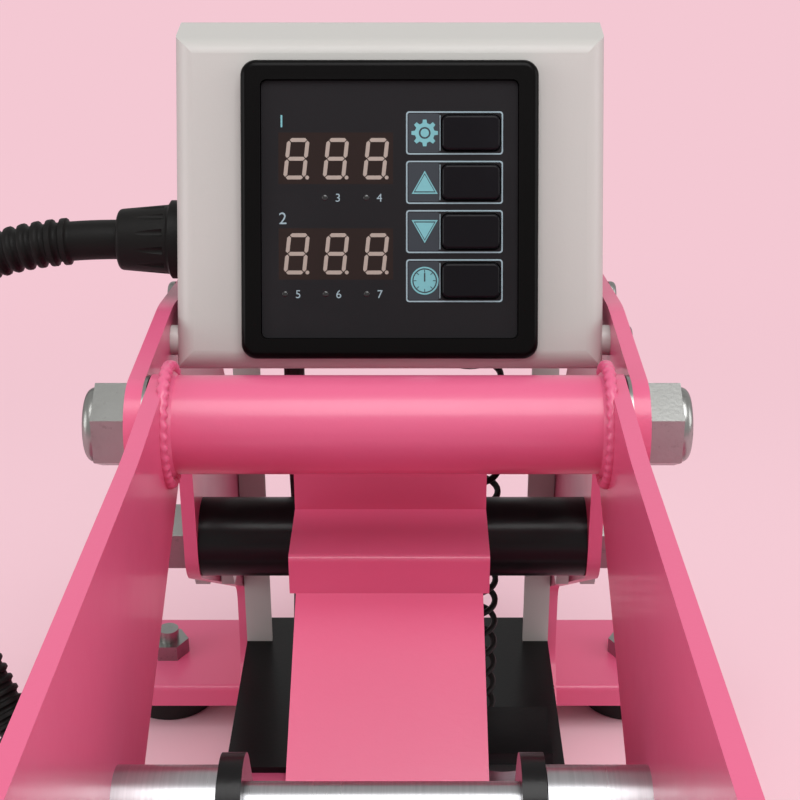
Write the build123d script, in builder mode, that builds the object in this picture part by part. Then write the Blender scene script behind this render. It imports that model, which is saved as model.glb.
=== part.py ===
"""Automatic heat press with a hinged press arm, an over-arm handle and a control box.

Frame: X to the right, Y to the rear, Z up, the floor at Z = 0. Side profiles are drawn in the
YZ plane and extruded along X. The press is closed; handle and arm turn about axes along X.
"""
import os
from math import atan2, cos, hypot, pi, radians, sin, sqrt, tan

from build123d import *

os.makedirs("parts", exist_ok=True)

# Pivots, as (Y, Z)
HANDLE_PIVOT = (60.0, 275.0)
ARM_PIVOT = (152.0, 183.0)
CRANK_PIN = (-55.723, 226.0)
LINK_PIN = (-20.0, 146.712)
SPRING_BASE = (150.0, 60.0)
SPRING_HEAD = (51.678, 128.0)

# Fits
RUN_CLEAR = 0.05          # radial play of a shaft in its bore
FREE_GAP = 0.5            # side play between a moving plate and its washer
LINK_PLAY = 1.6           # radial play of the link's lower eye on its pin
SPRING_PLAY = 1.1         # radial play of the gas spring's upper eye on its pin

# Frame
PLATE_T = 5.0             # uprights and handle plates
INNER_HALF = 72.5         # half of the width between the uprights
SHAFT_D = 16.0
NUT_AF = 24.0
NUT_H = 10.0
NUT_DOME = 3.3
WASHER_T = 1.0
WASHER_D = 30.0
FLOOR_GAP = 16.0          # height of the rubber feet
BASE_TOP = 27.3           # top of the folded cross plates
SHEET_T = 3.0
BASE_HALF = 150.0         # half length of the cross plates
REAR_EDGE = 335.0
REAR_PLATE_W = 62.0
FRONT_PLATE_Y = -322.0    # front edge of the front cross plate
RAIL_W = 27.5
RAIL_H = 42.0
RAIL_T = 2.5
FOOT_D = 50.0
FOOT_X = 117.0
STUD_D = 10.0
FOOT_NUT_AF, FOOT_NUT_H = 17.0, 8.0
DECK_T = 3.0
DECK_FRONT = 168.0
DECK_REAR = 285.0
EAR_R = 15.0              # rounded nose of the upright about the handle shaft
LOBE_R = 16.0             # rounded lobe of the upright about the arm shaft
STOP_BOLT = (198.0, 142.0)
STOP_BOLT_D, STOP_BOLT_AF = 8.0, 13.0

# Control housing
SIDE_GAP = 2.5            # from the housing's wall to the upright
BOX_HALF = INNER_HALF - SIDE_GAP
BOX_BOTTOM = 272.5
BOX_FRONT = 100.0
BOX_SHOULDER = (141.5, 373.0)
BOX_CREST = (162.0, 375.5)
BOX_REAR = 285.0
BOX_REAR_TOP = 302.0
BOX_WALL = 1.5
BOX_EDGE_R = 6.0
BEZEL = 96.0              # square controller front
BEZEL_CUT = 92.0          # square cut-out in the sheet
BEZEL_PROUD = 6.0
BEZEL_R = 5.0
PANEL = 83.0
PANEL_DROP = 1.6          # panel face below the bezel's rim
BODY_DEPTH = 10.0
WINDOW_W, WINDOW_H = 36.9, 16.5
WINDOW_X = -17.35
WINDOW_Y = (16.5, -14.2)
BUTTON_W, BUTTON_H = 18.6, 11.2
BUTTON_X = 26.2
BUTTON_Y0, BUTTON_STEP = 24.6, -15.8
BUTTON_RISE = 1.8
BUTTON_GAP = 0.4
BUTTON_WELL = 3.0
HOUSING_SCREWS = ((113.0, 280.5), (158.0, 279.0))
HOUSING_SCREW_D = 5.0
HOUSING_PAD_D = 10.0
GLAND_Y, GLAND_Z = 138.0, 307.0
GLAND_D, GLAND_L = 23.5, 22.0
HOSE_D = 16.0

# Handle
HANDLE_OUT = INNER_HALF - WASHER_T - FREE_GAP
HANDLE_IN = HANDLE_OUT - PLATE_T
HANDLE_FRONT = -335.0
HANDLE_END_R = 19.0
HANDLE_REAR_R = 15.5
TUBE_D = 30.0
GRIP_D, FOAM_D = 22.0, 34.0
GRIP_Y, GRIP_Z = -315.5, 287.6
PIN_D = 12.0

# Arm and platens
ARM_HALF = 30.0
ARM_WALL = 4.0
ARM_HUB_R = 24.0
SLEEVE_D = 30.0
ARM_FRONT = -150.0
ARM_BOTTOM = 125.0
ARM_TOP = 165.0
ARM_KNEE_Y = -8.0         # where the underside starts to rise
STEP_T = 4.0
STEP_HALF = 32.0
PLATEN = 380.0
PLATEN_Y = -127.0
PLATEN_R = 12.0
SPACER_H, SPACER_D, SPACER_REACH = 3.0, 22.0, 115.0
BED_T = 8.0
PAD_T = 6.0
PAD_INSET = 2.0
PRESS_GAP = 1.0
HEATER_T = 18.0
COVER_H = 16.0
SCREW_D = 16.0
JOURNAL_D = 12.0
HUB_D = 50.0
HUB_H = 18.0
KNOB_D, KNOB_H = 58.0, 24.0
LINK_T = 6.0
LINK_IN = 34.0
LINK_EYE_R = 13.0

# Gas spring and magnet
SPRING_D = 18.0
ROD_D = 8.0
EYE_R, EYE_W = 8.0, 10.0
SPRING_PIN_D = 8.0
SPRING_BODY_END = 80.0    # along the axis from the base pin
SPRING_BORE_FROM = 12.0
ROD_FROM = 16.0
CLEVIS_T = 4.0
MAGNET_X, MAGNET_Y = 40.0, 105.0
MAGNET_D, MAGNET_H = 36.0, 30.0
MAGNET_TOP = 114.7
MAGNET_GAP = 0.3
ARMATURE_T = 8.0

rail_top = FLOOR_GAP + RAIL_H
bed_bottom = rail_top + SPACER_H
bed_top = bed_bottom + BED_T
pad_top = bed_top + PAD_T
heater_bottom = pad_top + PRESS_GAP
heater_top = heater_bottom + HEATER_T
cover_top = heater_top + COVER_H
rail_out = INNER_HALF
rail_in = rail_out - RAIL_W
bore_d = SHAFT_D + 2 * RUN_CLEAR


def tangent_point(point, centre, radius, side):
    """Touching point of the line from a point to a circle, on the chosen side."""
    dy, dz = centre[0] - point[0], centre[1] - point[1]
    far = hypot(dy, dz)
    reach = sqrt(far * far - radius * radius)
    turn = atan2(dz, dy) + side * atan2(radius, reach)
    return (point[0] + reach * cos(turn), point[1] + reach * sin(turn))


def corner_on(centre, radius, slope_deg, y):
    """Point at a given Y on the line below and in front of a circle that falls to the rear."""
    dy, dz = cos(radians(slope_deg)), -sin(radians(slope_deg))
    base = (centre[0] + radius * dz, centre[1] - radius * dy)
    return (y, base[1] + (y - base[0]) * dz / dy)


def save(builder, label):
    builder.part.label = label
    export_step(builder.part, f"parts/{label}.step")


# Uprights
post_front = REAR_EDGE - 57.5
lobe_front = ARM_PIVOT[0] - LOBE_R
SLOPE = 33.0
upright_outline = [
    ((HANDLE_PIVOT[0] - EAR_R, HANDLE_PIVOT[1] + EAR_R), EAR_R - 0.1),
    ((120, HANDLE_PIVOT[1] + EAR_R), 60),
    ((186, 279), 30),
    ((318, 112), 60),
    ((REAR_EDGE, BASE_TOP), 0),
    ((REAR_EDGE - REAR_PLATE_W - FREE_GAP, BASE_TOP), 0),
    ((REAR_EDGE - REAR_PLATE_W - FREE_GAP, FLOOR_GAP), 0),
    ((post_front - RAIL_W, FLOOR_GAP), 2),
    ((post_front, 44), 12),
    (corner_on(ARM_PIVOT, LOBE_R, SLOPE, post_front), 14),
    (corner_on(ARM_PIVOT, LOBE_R, SLOPE, lobe_front), LOBE_R),
    ((lobe_front, 250), 30),
    ((HANDLE_PIVOT[0] - EAR_R, HANDLE_PIVOT[1] - EAR_R), EAR_R - 0.1),
]
for side, name in ((-1, "upright_left"), (1, "upright_right")):
    with BuildPart() as upright:
        with BuildSketch(Plane.YZ.offset(side * INNER_HALF)):
            with BuildLine():
                FilletPolyline(*[p for p, r in upright_outline],
                               radius=[r for p, r in upright_outline], close=True)
            make_face()
            with Locations(HANDLE_PIVOT, ARM_PIVOT):
                Circle(bore_d / 2, mode=Mode.SUBTRACT)
            with Locations(STOP_BOLT):
                Circle(STOP_BOLT_D / 2 + RUN_CLEAR, mode=Mode.SUBTRACT)
            with Locations(*HOUSING_SCREWS):
                Circle(HOUSING_SCREW_D / 2 + RUN_CLEAR, mode=Mode.SUBTRACT)
        extrude(amount=side * PLATE_T)
    save(upright, name)

# Base
# Two folded cross plates carry the feet, and two box rails run between them.
front_rear_edge = FRONT_PLATE_Y + REAR_PLATE_W
for name, y0 in (("rear_cross_plate", REAR_EDGE - REAR_PLATE_W), ("front_cross_plate", FRONT_PLATE_Y)):
    y_mid = y0 + REAR_PLATE_W / 2
    with BuildPart() as cross_plate:
        with BuildSketch(Plane.YZ.offset(-BASE_HALF)):
            with Locations((y_mid, (BASE_TOP + FLOOR_GAP) / 2)):
                Rectangle(REAR_PLATE_W, BASE_TOP - FLOOR_GAP)
            with Locations((y_mid, (BASE_TOP + FLOOR_GAP) / 2 - SHEET_T)):
                Rectangle(REAR_PLATE_W - 2 * SHEET_T, BASE_TOP - FLOOR_GAP, mode=Mode.SUBTRACT)
        extrude(amount=2 * BASE_HALF)
        upper = cross_plate.edges().filter_by(Axis.X).filter_by(
            lambda e: abs(e.center().Z - BASE_TOP) < 0.01)
        fillet(upper, radius=2.5)
        with Locations((-FOOT_X, y_mid, BASE_TOP), (FOOT_X, y_mid, BASE_TOP)):
            Hole(STUD_D / 2 + RUN_CLEAR, depth=SHEET_T)
    save(cross_plate, name)

for side, name in ((-1, "base_rail_left"), (1, "base_rail_right")):
    rail_x = side * (rail_out + rail_in) / 2
    with BuildPart() as rail:
        with BuildSketch(Plane.XZ.offset(-front_rear_edge)):
            with Locations((rail_x, FLOOR_GAP + RAIL_H / 2)):
                RectangleRounded(RAIL_W, RAIL_H, 4)
                RectangleRounded(RAIL_W - 2 * RAIL_T, RAIL_H - 2 * RAIL_T, 1.5, mode=Mode.SUBTRACT)
        extrude(amount=-(REAR_EDGE - REAR_PLATE_W - front_rear_edge))
    save(rail, name)

foot_spots = [(x, y) for y in (FRONT_PLATE_Y + REAR_PLATE_W / 2, REAR_EDGE - REAR_PLATE_W / 2)
              for x in (-FOOT_X, FOOT_X)]
plate_under = BASE_TOP - SHEET_T
with BuildPart() as feet:
    with BuildSketch(Plane.XZ):
        with BuildLine():
            FilletPolyline((0, 0), (FOOT_D / 2 - 3, 0), (FOOT_D / 2, FLOOR_GAP - 4),
                           (FOOT_D / 2, FLOOR_GAP), (17, FLOOR_GAP), (14, plate_under),
                           (0, plate_under), radius=[2, 6, 1.5, 1, 1])
            Line((0, plate_under), (0, 0))
        make_face()
    revolve(axis=Axis.Z)
foot_shape = feet.part
with BuildPart() as rubber_feet:
    with Locations(*[(x, y, 0) for x, y in foot_spots]):
        add(foot_shape)
save(rubber_feet, "rubber_feet")

with BuildPart() as foot_nuts:
    with BuildSketch(Plane.XY.offset(plate_under)):
        with Locations(*foot_spots):
            Circle(STUD_D / 2)
    extrude(amount=SHEET_T + 14)
    with BuildSketch(Plane.XY.offset(BASE_TOP)):
        with Locations(*foot_spots):
            RegularPolygon(FOOT_NUT_AF / 2, 6, major_radius=False)
    extrude(amount=FOOT_NUT_H)
save(foot_nuts, "foot_nuts")

with BuildPart() as rear_deck:
    with BuildSketch(Plane.XY.offset(rail_top)):
        with Locations((0, (DECK_FRONT + DECK_REAR) / 2)):
            Rectangle(2 * (INNER_HALF - FREE_GAP), DECK_REAR - DECK_FRONT)
    extrude(amount=DECK_T)
    # the rear lip folds down to stand on the cross plate
    with BuildSketch(Plane.XY.offset(BASE_TOP)):
        with Locations((0, DECK_REAR - DECK_T / 2)):
            Rectangle(2 * (INNER_HALF - FREE_GAP), DECK_T)
    extrude(amount=rail_top - BASE_TOP)
    outer_fold = rear_deck.edges().filter_by(Axis.X).filter_by(
        lambda e: e.center().Y > DECK_REAR - 0.01 and e.center().Z > rail_top)
    fillet(outer_fold, radius=2)
save(rear_deck, "rear_deck")

# Shafts, nuts, sleeve
shaft_half = INNER_HALF + PLATE_T + NUT_H + NUT_DOME - 1.2
for name, (y, z) in (("handle_pivot_shaft", HANDLE_PIVOT), ("arm_pivot_shaft", ARM_PIVOT)):
    with BuildPart() as shaft:
        with BuildSketch(Plane.YZ.offset(-shaft_half)):
            with Locations((y, z)):
                Circle(SHAFT_D / 2)
        extrude(amount=2 * shaft_half)
        chamfer(shaft.edges().filter_by(GeomType.CIRCLE), 0.8)
    save(shaft, name)

# lock nuts with a domed insert, pressed onto the ends of both shafts
with BuildPart() as pivot_nuts:
    for side in (-1, 1):
        x0 = side * (INNER_HALF + PLATE_T)
        with BuildSketch(Plane.YZ.offset(x0)):
            with Locations(HANDLE_PIVOT, ARM_PIVOT):
                RegularPolygon(NUT_AF / 2, 6, major_radius=False, rotation=30)
                Circle(SHAFT_D / 2, mode=Mode.SUBTRACT)
        extrude(amount=side * NUT_H)
        with BuildSketch(Plane.YZ.offset(x0 + side * NUT_H)):
            with Locations(HANDLE_PIVOT, ARM_PIVOT):
                Circle(NUT_AF / 2 - 0.6)
                Circle(SHAFT_D / 2, mode=Mode.SUBTRACT)
        extrude(amount=side * NUT_DOME)
    domes = pivot_nuts.edges().filter_by(GeomType.CIRCLE).filter_by(
        lambda e: abs(abs(e.center().X) - INNER_HALF - PLATE_T - NUT_H - NUT_DOME) < 0.01
        and e.radius > SHAFT_D / 2 + 1)
    fillet(domes, radius=2.6)
save(pivot_nuts, "pivot_nuts")

with BuildPart() as pivot_washers:
    for side in (-1, 1):
        with BuildSketch(Plane.YZ.offset(side * INNER_HALF)):
            with Locations(HANDLE_PIVOT):
                Circle(WASHER_D / 2)
                Circle(bore_d / 2, mode=Mode.SUBTRACT)
        extrude(amount=-side * WASHER_T)
save(pivot_washers, "pivot_washers")

with BuildPart() as arm_sleeve:
    with BuildSketch(Plane.YZ.offset(-INNER_HALF)):
        with Locations(ARM_PIVOT):
            Circle(SLEEVE_D / 2)
            Circle(bore_d / 2, mode=Mode.SUBTRACT)
    extrude(amount=2 * INNER_HALF)
save(arm_sleeve, "arm_pivot_sleeve")

with BuildPart() as stop_bolts:
    for side in (-1, 1):
        with BuildSketch(Plane.YZ.offset(side * (INNER_HALF + PLATE_T))):
            with Locations(STOP_BOLT):
                Circle(STOP_BOLT_D / 2)
        extrude(amount=-side * (PLATE_T + 3))
        with BuildSketch(Plane.YZ.offset(side * INNER_HALF)):
            with Locations(STOP_BOLT):
                RegularPolygon(STOP_BOLT_AF / 2, 6, major_radius=False)
        extrude(amount=-side * 5.3)
        with BuildSketch(Plane.YZ.offset(side * (INNER_HALF + PLATE_T))):
            with Locations(STOP_BOLT):
                RegularPolygon(STOP_BOLT_AF / 2, 6, major_radius=False)
        extrude(amount=side * 6)
save(stop_bolts, "stop_bolts")

# Control housing: a folded sheet shell with a leaning front
lean = atan2(BOX_SHOULDER[0] - BOX_FRONT, BOX_SHOULDER[1] - BOX_BOTTOM)
face_mid = ((BOX_FRONT + BOX_SHOULDER[0]) / 2, (BOX_BOTTOM + BOX_SHOULDER[1]) / 2)
face = Plane(origin=(0, *face_mid), x_dir=(1, 0, 0), z_dir=(0, -cos(lean), sin(lean)))
CORD_X, CORD_Y = 33.0, 190.0
LOOM_X, LOOM_Y, LOOM_D = -39.0, 192.0, 8.0
COIL_D = 20.0
inlet_x, switch_x = -28.0, 32.0
INLET_W, INLET_H, INLET_DEPTH = 30.0, 23.0, 16.0
rear_mid = (BOX_BOTTOM + BOX_REAR_TOP) / 2 - 0.5


def housing_block(inset):
    """The housing's outline as a solid, drawn a wall's thickness smaller on request."""
    with BuildPart() as block:
        with BuildSketch(Plane.YZ.offset(inset - BOX_HALF)):
            with BuildLine():
                Polyline((BOX_FRONT, BOX_BOTTOM), BOX_SHOULDER, BOX_CREST,
                         (BOX_REAR, BOX_REAR_TOP), (BOX_REAR, BOX_BOTTOM), close=True)
            make_face()
            if inset:
                offset(amount=-inset, kind=Kind.INTERSECTION)
        extrude(amount=2 * (BOX_HALF - inset))
        front = block.faces().sort_by(lambda f: f.normal_at().dot(face.z_dir))[-1]
        fillet(front.edges(), radius=BOX_EDGE_R - inset)
        ridges = block.edges().filter_by(Axis.X).filter_by(
            lambda e: e.center().Y > BOX_CREST[0] - 3 and e.center().Z > BOX_BOTTOM + 4)
        fillet(ridges, radius=BOX_EDGE_R - 1 - inset)
    return block.part


outer_block, inner_block = housing_block(0), housing_block(BOX_WALL)
with BuildPart() as housing:
    add(outer_block)
    add(inner_block, mode=Mode.SUBTRACT)
    # cut-outs for the controller, the cable gland, the inlet and the switch
    with BuildSketch(face):
        Rectangle(BEZEL_CUT, BEZEL_CUT)
    extrude(amount=-8, both=True, mode=Mode.SUBTRACT)
    with BuildSketch(Plane.YZ.offset(-BOX_HALF - 1)):
        with Locations((GLAND_Y, GLAND_Z)):
            Circle(HOSE_D / 2 + RUN_CLEAR)
    extrude(amount=BOX_WALL + 2, mode=Mode.SUBTRACT)
    with BuildSketch(Plane.XZ.offset(-BOX_REAR - 1)):
        with Locations((inlet_x, rear_mid)):
            Rectangle(INLET_W - 6, INLET_H - 6)
        with Locations((switch_x, rear_mid)):
            Rectangle(22, 14)
    extrude(amount=BOX_WALL + 2, mode=Mode.SUBTRACT)
    # round pads on the sides seat against the uprights
    for side in (-1, 1):
        with BuildSketch(Plane.YZ.offset(side * (BOX_HALF - BOX_WALL))):
            with Locations(*HOUSING_SCREWS):
                Circle(HOUSING_PAD_D / 2)
        extrude(amount=side * (INNER_HALF - BOX_HALF + BOX_WALL))
        with BuildSketch(Plane.YZ.offset(side * INNER_HALF)):
            with Locations(*HOUSING_SCREWS):
                Circle(HOUSING_SCREW_D / 2 + RUN_CLEAR)
        extrude(amount=-side * 8, mode=Mode.SUBTRACT)
save(housing, "control_housing")

with BuildPart() as housing_screws:
    for side in (-1, 1):
        with BuildSketch(Plane.YZ.offset(side * (INNER_HALF + PLATE_T))):
            with Locations(*HOUSING_SCREWS):
                Circle(HOUSING_SCREW_D / 2)
        extrude(amount=-side * (PLATE_T + INNER_HALF - BOX_HALF + 4))
        with BuildSketch(Plane.YZ.offset(side * (INNER_HALF + PLATE_T))):
            with Locations(*HOUSING_SCREWS):
                Circle(HOUSING_SCREW_D)
        extrude(amount=side * 2.6)
    heads = housing_screws.edges().filter_by(GeomType.CIRCLE).filter_by(
        lambda e: abs(e.center().X) > INNER_HALF + PLATE_T + 2.5)
    fillet(heads, radius=1.8)
save(housing_screws, "housing_screws")

# Folded angle legs carry the rear of the housing on the deck
LEG_W, LEG_DEEP, LEG_T = 12.0, 18.0, 2.0
leg_out = INNER_HALF - FREE_GAP
deck_top = rail_top + DECK_T
with BuildPart() as housing_legs:
    for side in (-1, 1):
        with BuildSketch(Plane.XY.offset(deck_top)):
            with BuildLine():
                x1, x0 = side * leg_out, side * (leg_out - LEG_W)
                y0, y1 = BOX_REAR - 4 - LEG_DEEP, BOX_REAR - 4
                Polyline((x0, y0), (x1, y0), (x1, y1), (x1 - side * LEG_T, y1),
                         (x1 - side * LEG_T, y0 + LEG_T), (x0, y0 + LEG_T), close=True)
            make_face()
        extrude(amount=BOX_BOTTOM - deck_top)
save(housing_legs, "housing_legs")

# Controller: a square front with a rim, a recessed panel, two windows and four keys
with BuildPart() as bezel:
    with BuildSketch(face):
        RectangleRounded(BEZEL, BEZEL, BEZEL_R)
    extrude(amount=BEZEL_PROUD)
    rim = bezel.faces().sort_by(Axis((0, 0, 0), (0, -cos(lean), sin(lean))))[-1]
    fillet(rim.edges(), radius=2.2)
    with BuildSketch(face):
        RectangleRounded(PANEL, PANEL, 2)
    extrude(amount=BEZEL_PROUD, mode=Mode.SUBTRACT)
    with BuildSketch(face):
        Rectangle(BEZEL_CUT - 0.6, BEZEL_CUT - 0.6)
    extrude(amount=-BODY_DEPTH)
save(bezel, "controller_bezel")

panel_face = BEZEL_PROUD - PANEL_DROP
key_rows = [BUTTON_Y0 + i * BUTTON_STEP for i in range(4)]
WINDOW_T = 1.0
with BuildPart() as panel:
    with BuildSketch(face):
        RectangleRounded(PANEL - 0.4, PANEL - 0.4, 1.8)
    extrude(amount=panel_face)
    with BuildSketch(face.offset(panel_face)):
        with Locations(*[(WINDOW_X, y) for y in WINDOW_Y]):
            Rectangle(WINDOW_W, WINDOW_H)
    extrude(amount=-WINDOW_T, mode=Mode.SUBTRACT)
    with BuildSketch(face.offset(panel_face)):
        with Locations(*[(BUTTON_X, y) for y in key_rows]):
            RectangleRounded(BUTTON_W + 2 * BUTTON_GAP, BUTTON_H + 2 * BUTTON_GAP, 2.4)
    extrude(amount=-BUTTON_WELL, mode=Mode.SUBTRACT)
save(panel, "display_panel")

with BuildPart() as windows:
    with BuildSketch(face.offset(panel_face - WINDOW_T)):
        with Locations(*[(WINDOW_X, y) for y in WINDOW_Y]):
            Rectangle(WINDOW_W, WINDOW_H)
    extrude(amount=WINDOW_T)
save(windows, "display_windows")

KEY_TRAVEL = 1.0
for i, row in enumerate(key_rows):
    with BuildPart() as key:
        with BuildSketch(face.offset(panel_face - BUTTON_WELL + KEY_TRAVEL + 0.1)):
            with Locations((BUTTON_X, row)):
                RectangleRounded(BUTTON_W, BUTTON_H, 2)
        extrude(amount=BUTTON_WELL - KEY_TRAVEL - 0.1 + BUTTON_RISE)
        crown = key.faces().sort_by(Axis((0, 0, 0), (0, -cos(lean), sin(lean))))[-1]
        fillet(crown.edges(), radius=0.9)
    save(key, f"key_{i + 1}")

# Cable gland on the left side: shank through the wall, collar and fluted dome nut
with BuildPart() as gland:
    with BuildSketch(Plane.XY.offset(GLAND_Z)):
        with BuildLine():
            FilletPolyline((-BOX_HALF + 6, GLAND_Y), (-BOX_HALF + 6, GLAND_Y + HOSE_D / 2),
                           (-BOX_HALF, GLAND_Y + HOSE_D / 2), (-BOX_HALF, GLAND_Y + GLAND_D / 2 + 1.5),
                           (-BOX_HALF - 4, GLAND_Y + GLAND_D / 2 + 1.5),
                           (-BOX_HALF - 5, GLAND_Y + GLAND_D / 2),
                           (-BOX_HALF - GLAND_L, GLAND_Y + GLAND_D / 2 - 1.5),
                           (-BOX_HALF - GLAND_L, GLAND_Y),
                           radius=[0, 0, 0.8, 0, 0, 1.5])
            Line((-BOX_HALF - GLAND_L, GLAND_Y), (-BOX_HALF + 6, GLAND_Y))
        make_face()
    revolve(axis=Axis((0, GLAND_Y, GLAND_Z), (1, 0, 0)))
    with BuildSketch(Plane.YZ.offset(-BOX_HALF - GLAND_L)):
        with Locations((GLAND_Y, GLAND_Z)):
            with PolarLocations(GLAND_D / 2 + 0.6, 12):
                Circle(1.5)
    extrude(amount=GLAND_L - 6, mode=Mode.SUBTRACT)
save(gland, "cable_gland")

# Power inlet and rocker switch on the rear face
with BuildPart() as inlet:
    with BuildSketch(Plane.XZ.offset(-BOX_REAR)):
        with Locations((inlet_x, rear_mid)):
            RectangleRounded(INLET_W + 16, INLET_H, 3)
    extrude(amount=-2.5)
    with BuildSketch(Plane.XZ.offset(-BOX_REAR)):
        with Locations((inlet_x, rear_mid)):
            RectangleRounded(INLET_W, INLET_H, 3)
    extrude(amount=-INLET_DEPTH)
    with BuildSketch(Plane.XZ.offset(-BOX_REAR - 1.5)):
        with Locations((inlet_x, rear_mid)):
            RectangleRounded(INLET_W - 5, INLET_H - 5, 2)
    extrude(amount=-INLET_DEPTH, mode=Mode.SUBTRACT)
save(inlet, "power_inlet")

SWITCH_W, SWITCH_H = 21.0, 15.0
ROCKER_R = 15.0
switch_pivot_y = BOX_REAR + 2.2
with BuildPart() as switch_frame:
    with BuildSketch(Plane.XZ.offset(-BOX_REAR)):
        with Locations((switch_x, rear_mid)):
            RectangleRounded(SWITCH_W + 4, SWITCH_H + 4, 2)
            Rectangle(SWITCH_W - 2, SWITCH_H - 2, mode=Mode.SUBTRACT)
    extrude(amount=-2.2)
save(switch_frame, "switch_frame")

# the rocker tips about an axis along Z through its middle
with BuildPart() as rocker:
    with BuildSketch(Plane.XY.offset(rear_mid - (SWITCH_H - 3) / 2)):
        with BuildLine():
            half = (SWITCH_W - 4) / 2
            tip = (switch_x + half - 0.6, switch_pivot_y + 4.2)
            low = (switch_x - half + 0.6, switch_pivot_y + 1.4)
            Polyline((switch_x - half + 2.5, BOX_REAR - 1.5), (switch_x + half - 2.5, BOX_REAR - 1.5),
                     (switch_x + half - 0.4, switch_pivot_y), tip)
            Polyline(low, (switch_x - half + 0.4, switch_pivot_y), (switch_x - half + 2.5, BOX_REAR - 1.5))
            ThreePointArc(tip, (switch_x, switch_pivot_y + 1.2), low)
        make_face()
    extrude(amount=SWITCH_H - 3)
save(rocker, "power_switch")

# Handle: two crank-shaped side plates, a cross tube on the shaft and a bar with a foam grip
pivot_y, pivot_z = HANDLE_PIVOT
handle_outline = [
    ((pivot_y + HANDLE_REAR_R, pivot_z + HANDLE_REAR_R), HANDLE_REAR_R - 0.2),
    ((8, 289.2), 200),
    ((HANDLE_FRONT, GRIP_Z + HANDLE_END_R + 0.6), HANDLE_END_R),
    ((HANDLE_FRONT, GRIP_Z - HANDLE_END_R - 0.6), HANDLE_END_R),
    ((-100, 256), 34),
    ((-78, 220), 20),
    ((-45, 197.5), 18),
    ((pivot_y + HANDLE_REAR_R, 254.4), 7),
]
for side, name in ((-1, "handle_plate_left"), (1, "handle_plate_right")):
    with BuildPart() as handle_plate:
        with BuildSketch(Plane.YZ.offset(side * HANDLE_IN)):
            with BuildLine():
                FilletPolyline(*[p for p, r in handle_outline],
                               radius=[r for p, r in handle_outline], close=True)
            make_face()
            with Locations(HANDLE_PIVOT):
                Circle(bore_d / 2, mode=Mode.SUBTRACT)
            with Locations(CRANK_PIN):
                Circle(PIN_D / 2, mode=Mode.SUBTRACT)
            with Locations((GRIP_Y, GRIP_Z)):
                Circle(GRIP_D / 2, mode=Mode.SUBTRACT)
        extrude(amount=side * PLATE_T)
    save(handle_plate, name)

WELD = 2.5
with BuildPart() as cross_tube:
    with BuildSketch(Plane.XY.offset(pivot_z)):
        with BuildLine():
            Polyline((-HANDLE_IN, pivot_y + bore_d / 2), (HANDLE_IN, pivot_y + bore_d / 2),
                     (HANDLE_IN, pivot_y + TUBE_D / 2 + WELD),
                     (HANDLE_IN - WELD, pivot_y + TUBE_D / 2), (WELD - HANDLE_IN, pivot_y + TUBE_D / 2),
                     (-HANDLE_IN, pivot_y + TUBE_D / 2 + WELD), close=True)
        make_face()
    revolve(axis=Axis((0, pivot_y, pivot_z), (1, 0, 0)))
save(cross_tube, "handle_cross_tube")

with BuildPart() as grip_bar:
    with BuildSketch(Plane.YZ.offset(-HANDLE_OUT)):
        with Locations((GRIP_Y, GRIP_Z)):
            Circle(GRIP_D / 2)
    extrude(amount=2 * HANDLE_OUT)
    chamfer(grip_bar.edges().filter_by(GeomType.CIRCLE), 1)
save(grip_bar, "grip_bar")

with BuildPart() as hand_grip:
    with BuildSketch(Plane.YZ.offset(-HANDLE_IN + 1)):
        with Locations((GRIP_Y, GRIP_Z)):
            Circle(FOAM_D / 2)
            Circle(GRIP_D / 2, mode=Mode.SUBTRACT)
    extrude(amount=2 * HANDLE_IN - 2)
    rims = hand_grip.edges().filter_by(GeomType.CIRCLE).filter_by(lambda e: e.radius > GRIP_D / 2 + 1)
    fillet(rims, radius=4)
save(hand_grip, "hand_grip")

with BuildPart() as crank_shaft:
    with BuildSketch(Plane.YZ.offset(-HANDLE_OUT - 3)):
        with Locations(CRANK_PIN):
            Circle(PIN_D / 2)
    extrude(amount=2 * HANDLE_OUT + 6)
    # spacer tubes between the links and the handle plates
    for side in (-1, 1):
        with BuildSketch(Plane.YZ.offset(side * (LINK_IN + LINK_T + FREE_GAP))):
            with Locations(CRANK_PIN):
                Circle(PIN_D / 2 + 4)
        extrude(amount=side * (HANDLE_IN - LINK_IN - LINK_T - FREE_GAP))
save(crank_shaft, "crank_shaft")

# Links between the crank shaft and the arm
with BuildPart() as toggle_links:
    for side in (-1, 1):
        with BuildSketch(Plane.YZ.offset(side * LINK_IN)):
            with Locations(CRANK_PIN, LINK_PIN):
                Circle(LINK_EYE_R)
            make_hull()
            with Locations(CRANK_PIN):
                Circle(PIN_D / 2 + RUN_CLEAR, mode=Mode.SUBTRACT)
            with Locations(LINK_PIN):
                Circle(PIN_D / 2 + LINK_PLAY, mode=Mode.SUBTRACT)
        extrude(amount=side * LINK_T)
save(toggle_links, "toggle_links")

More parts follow.
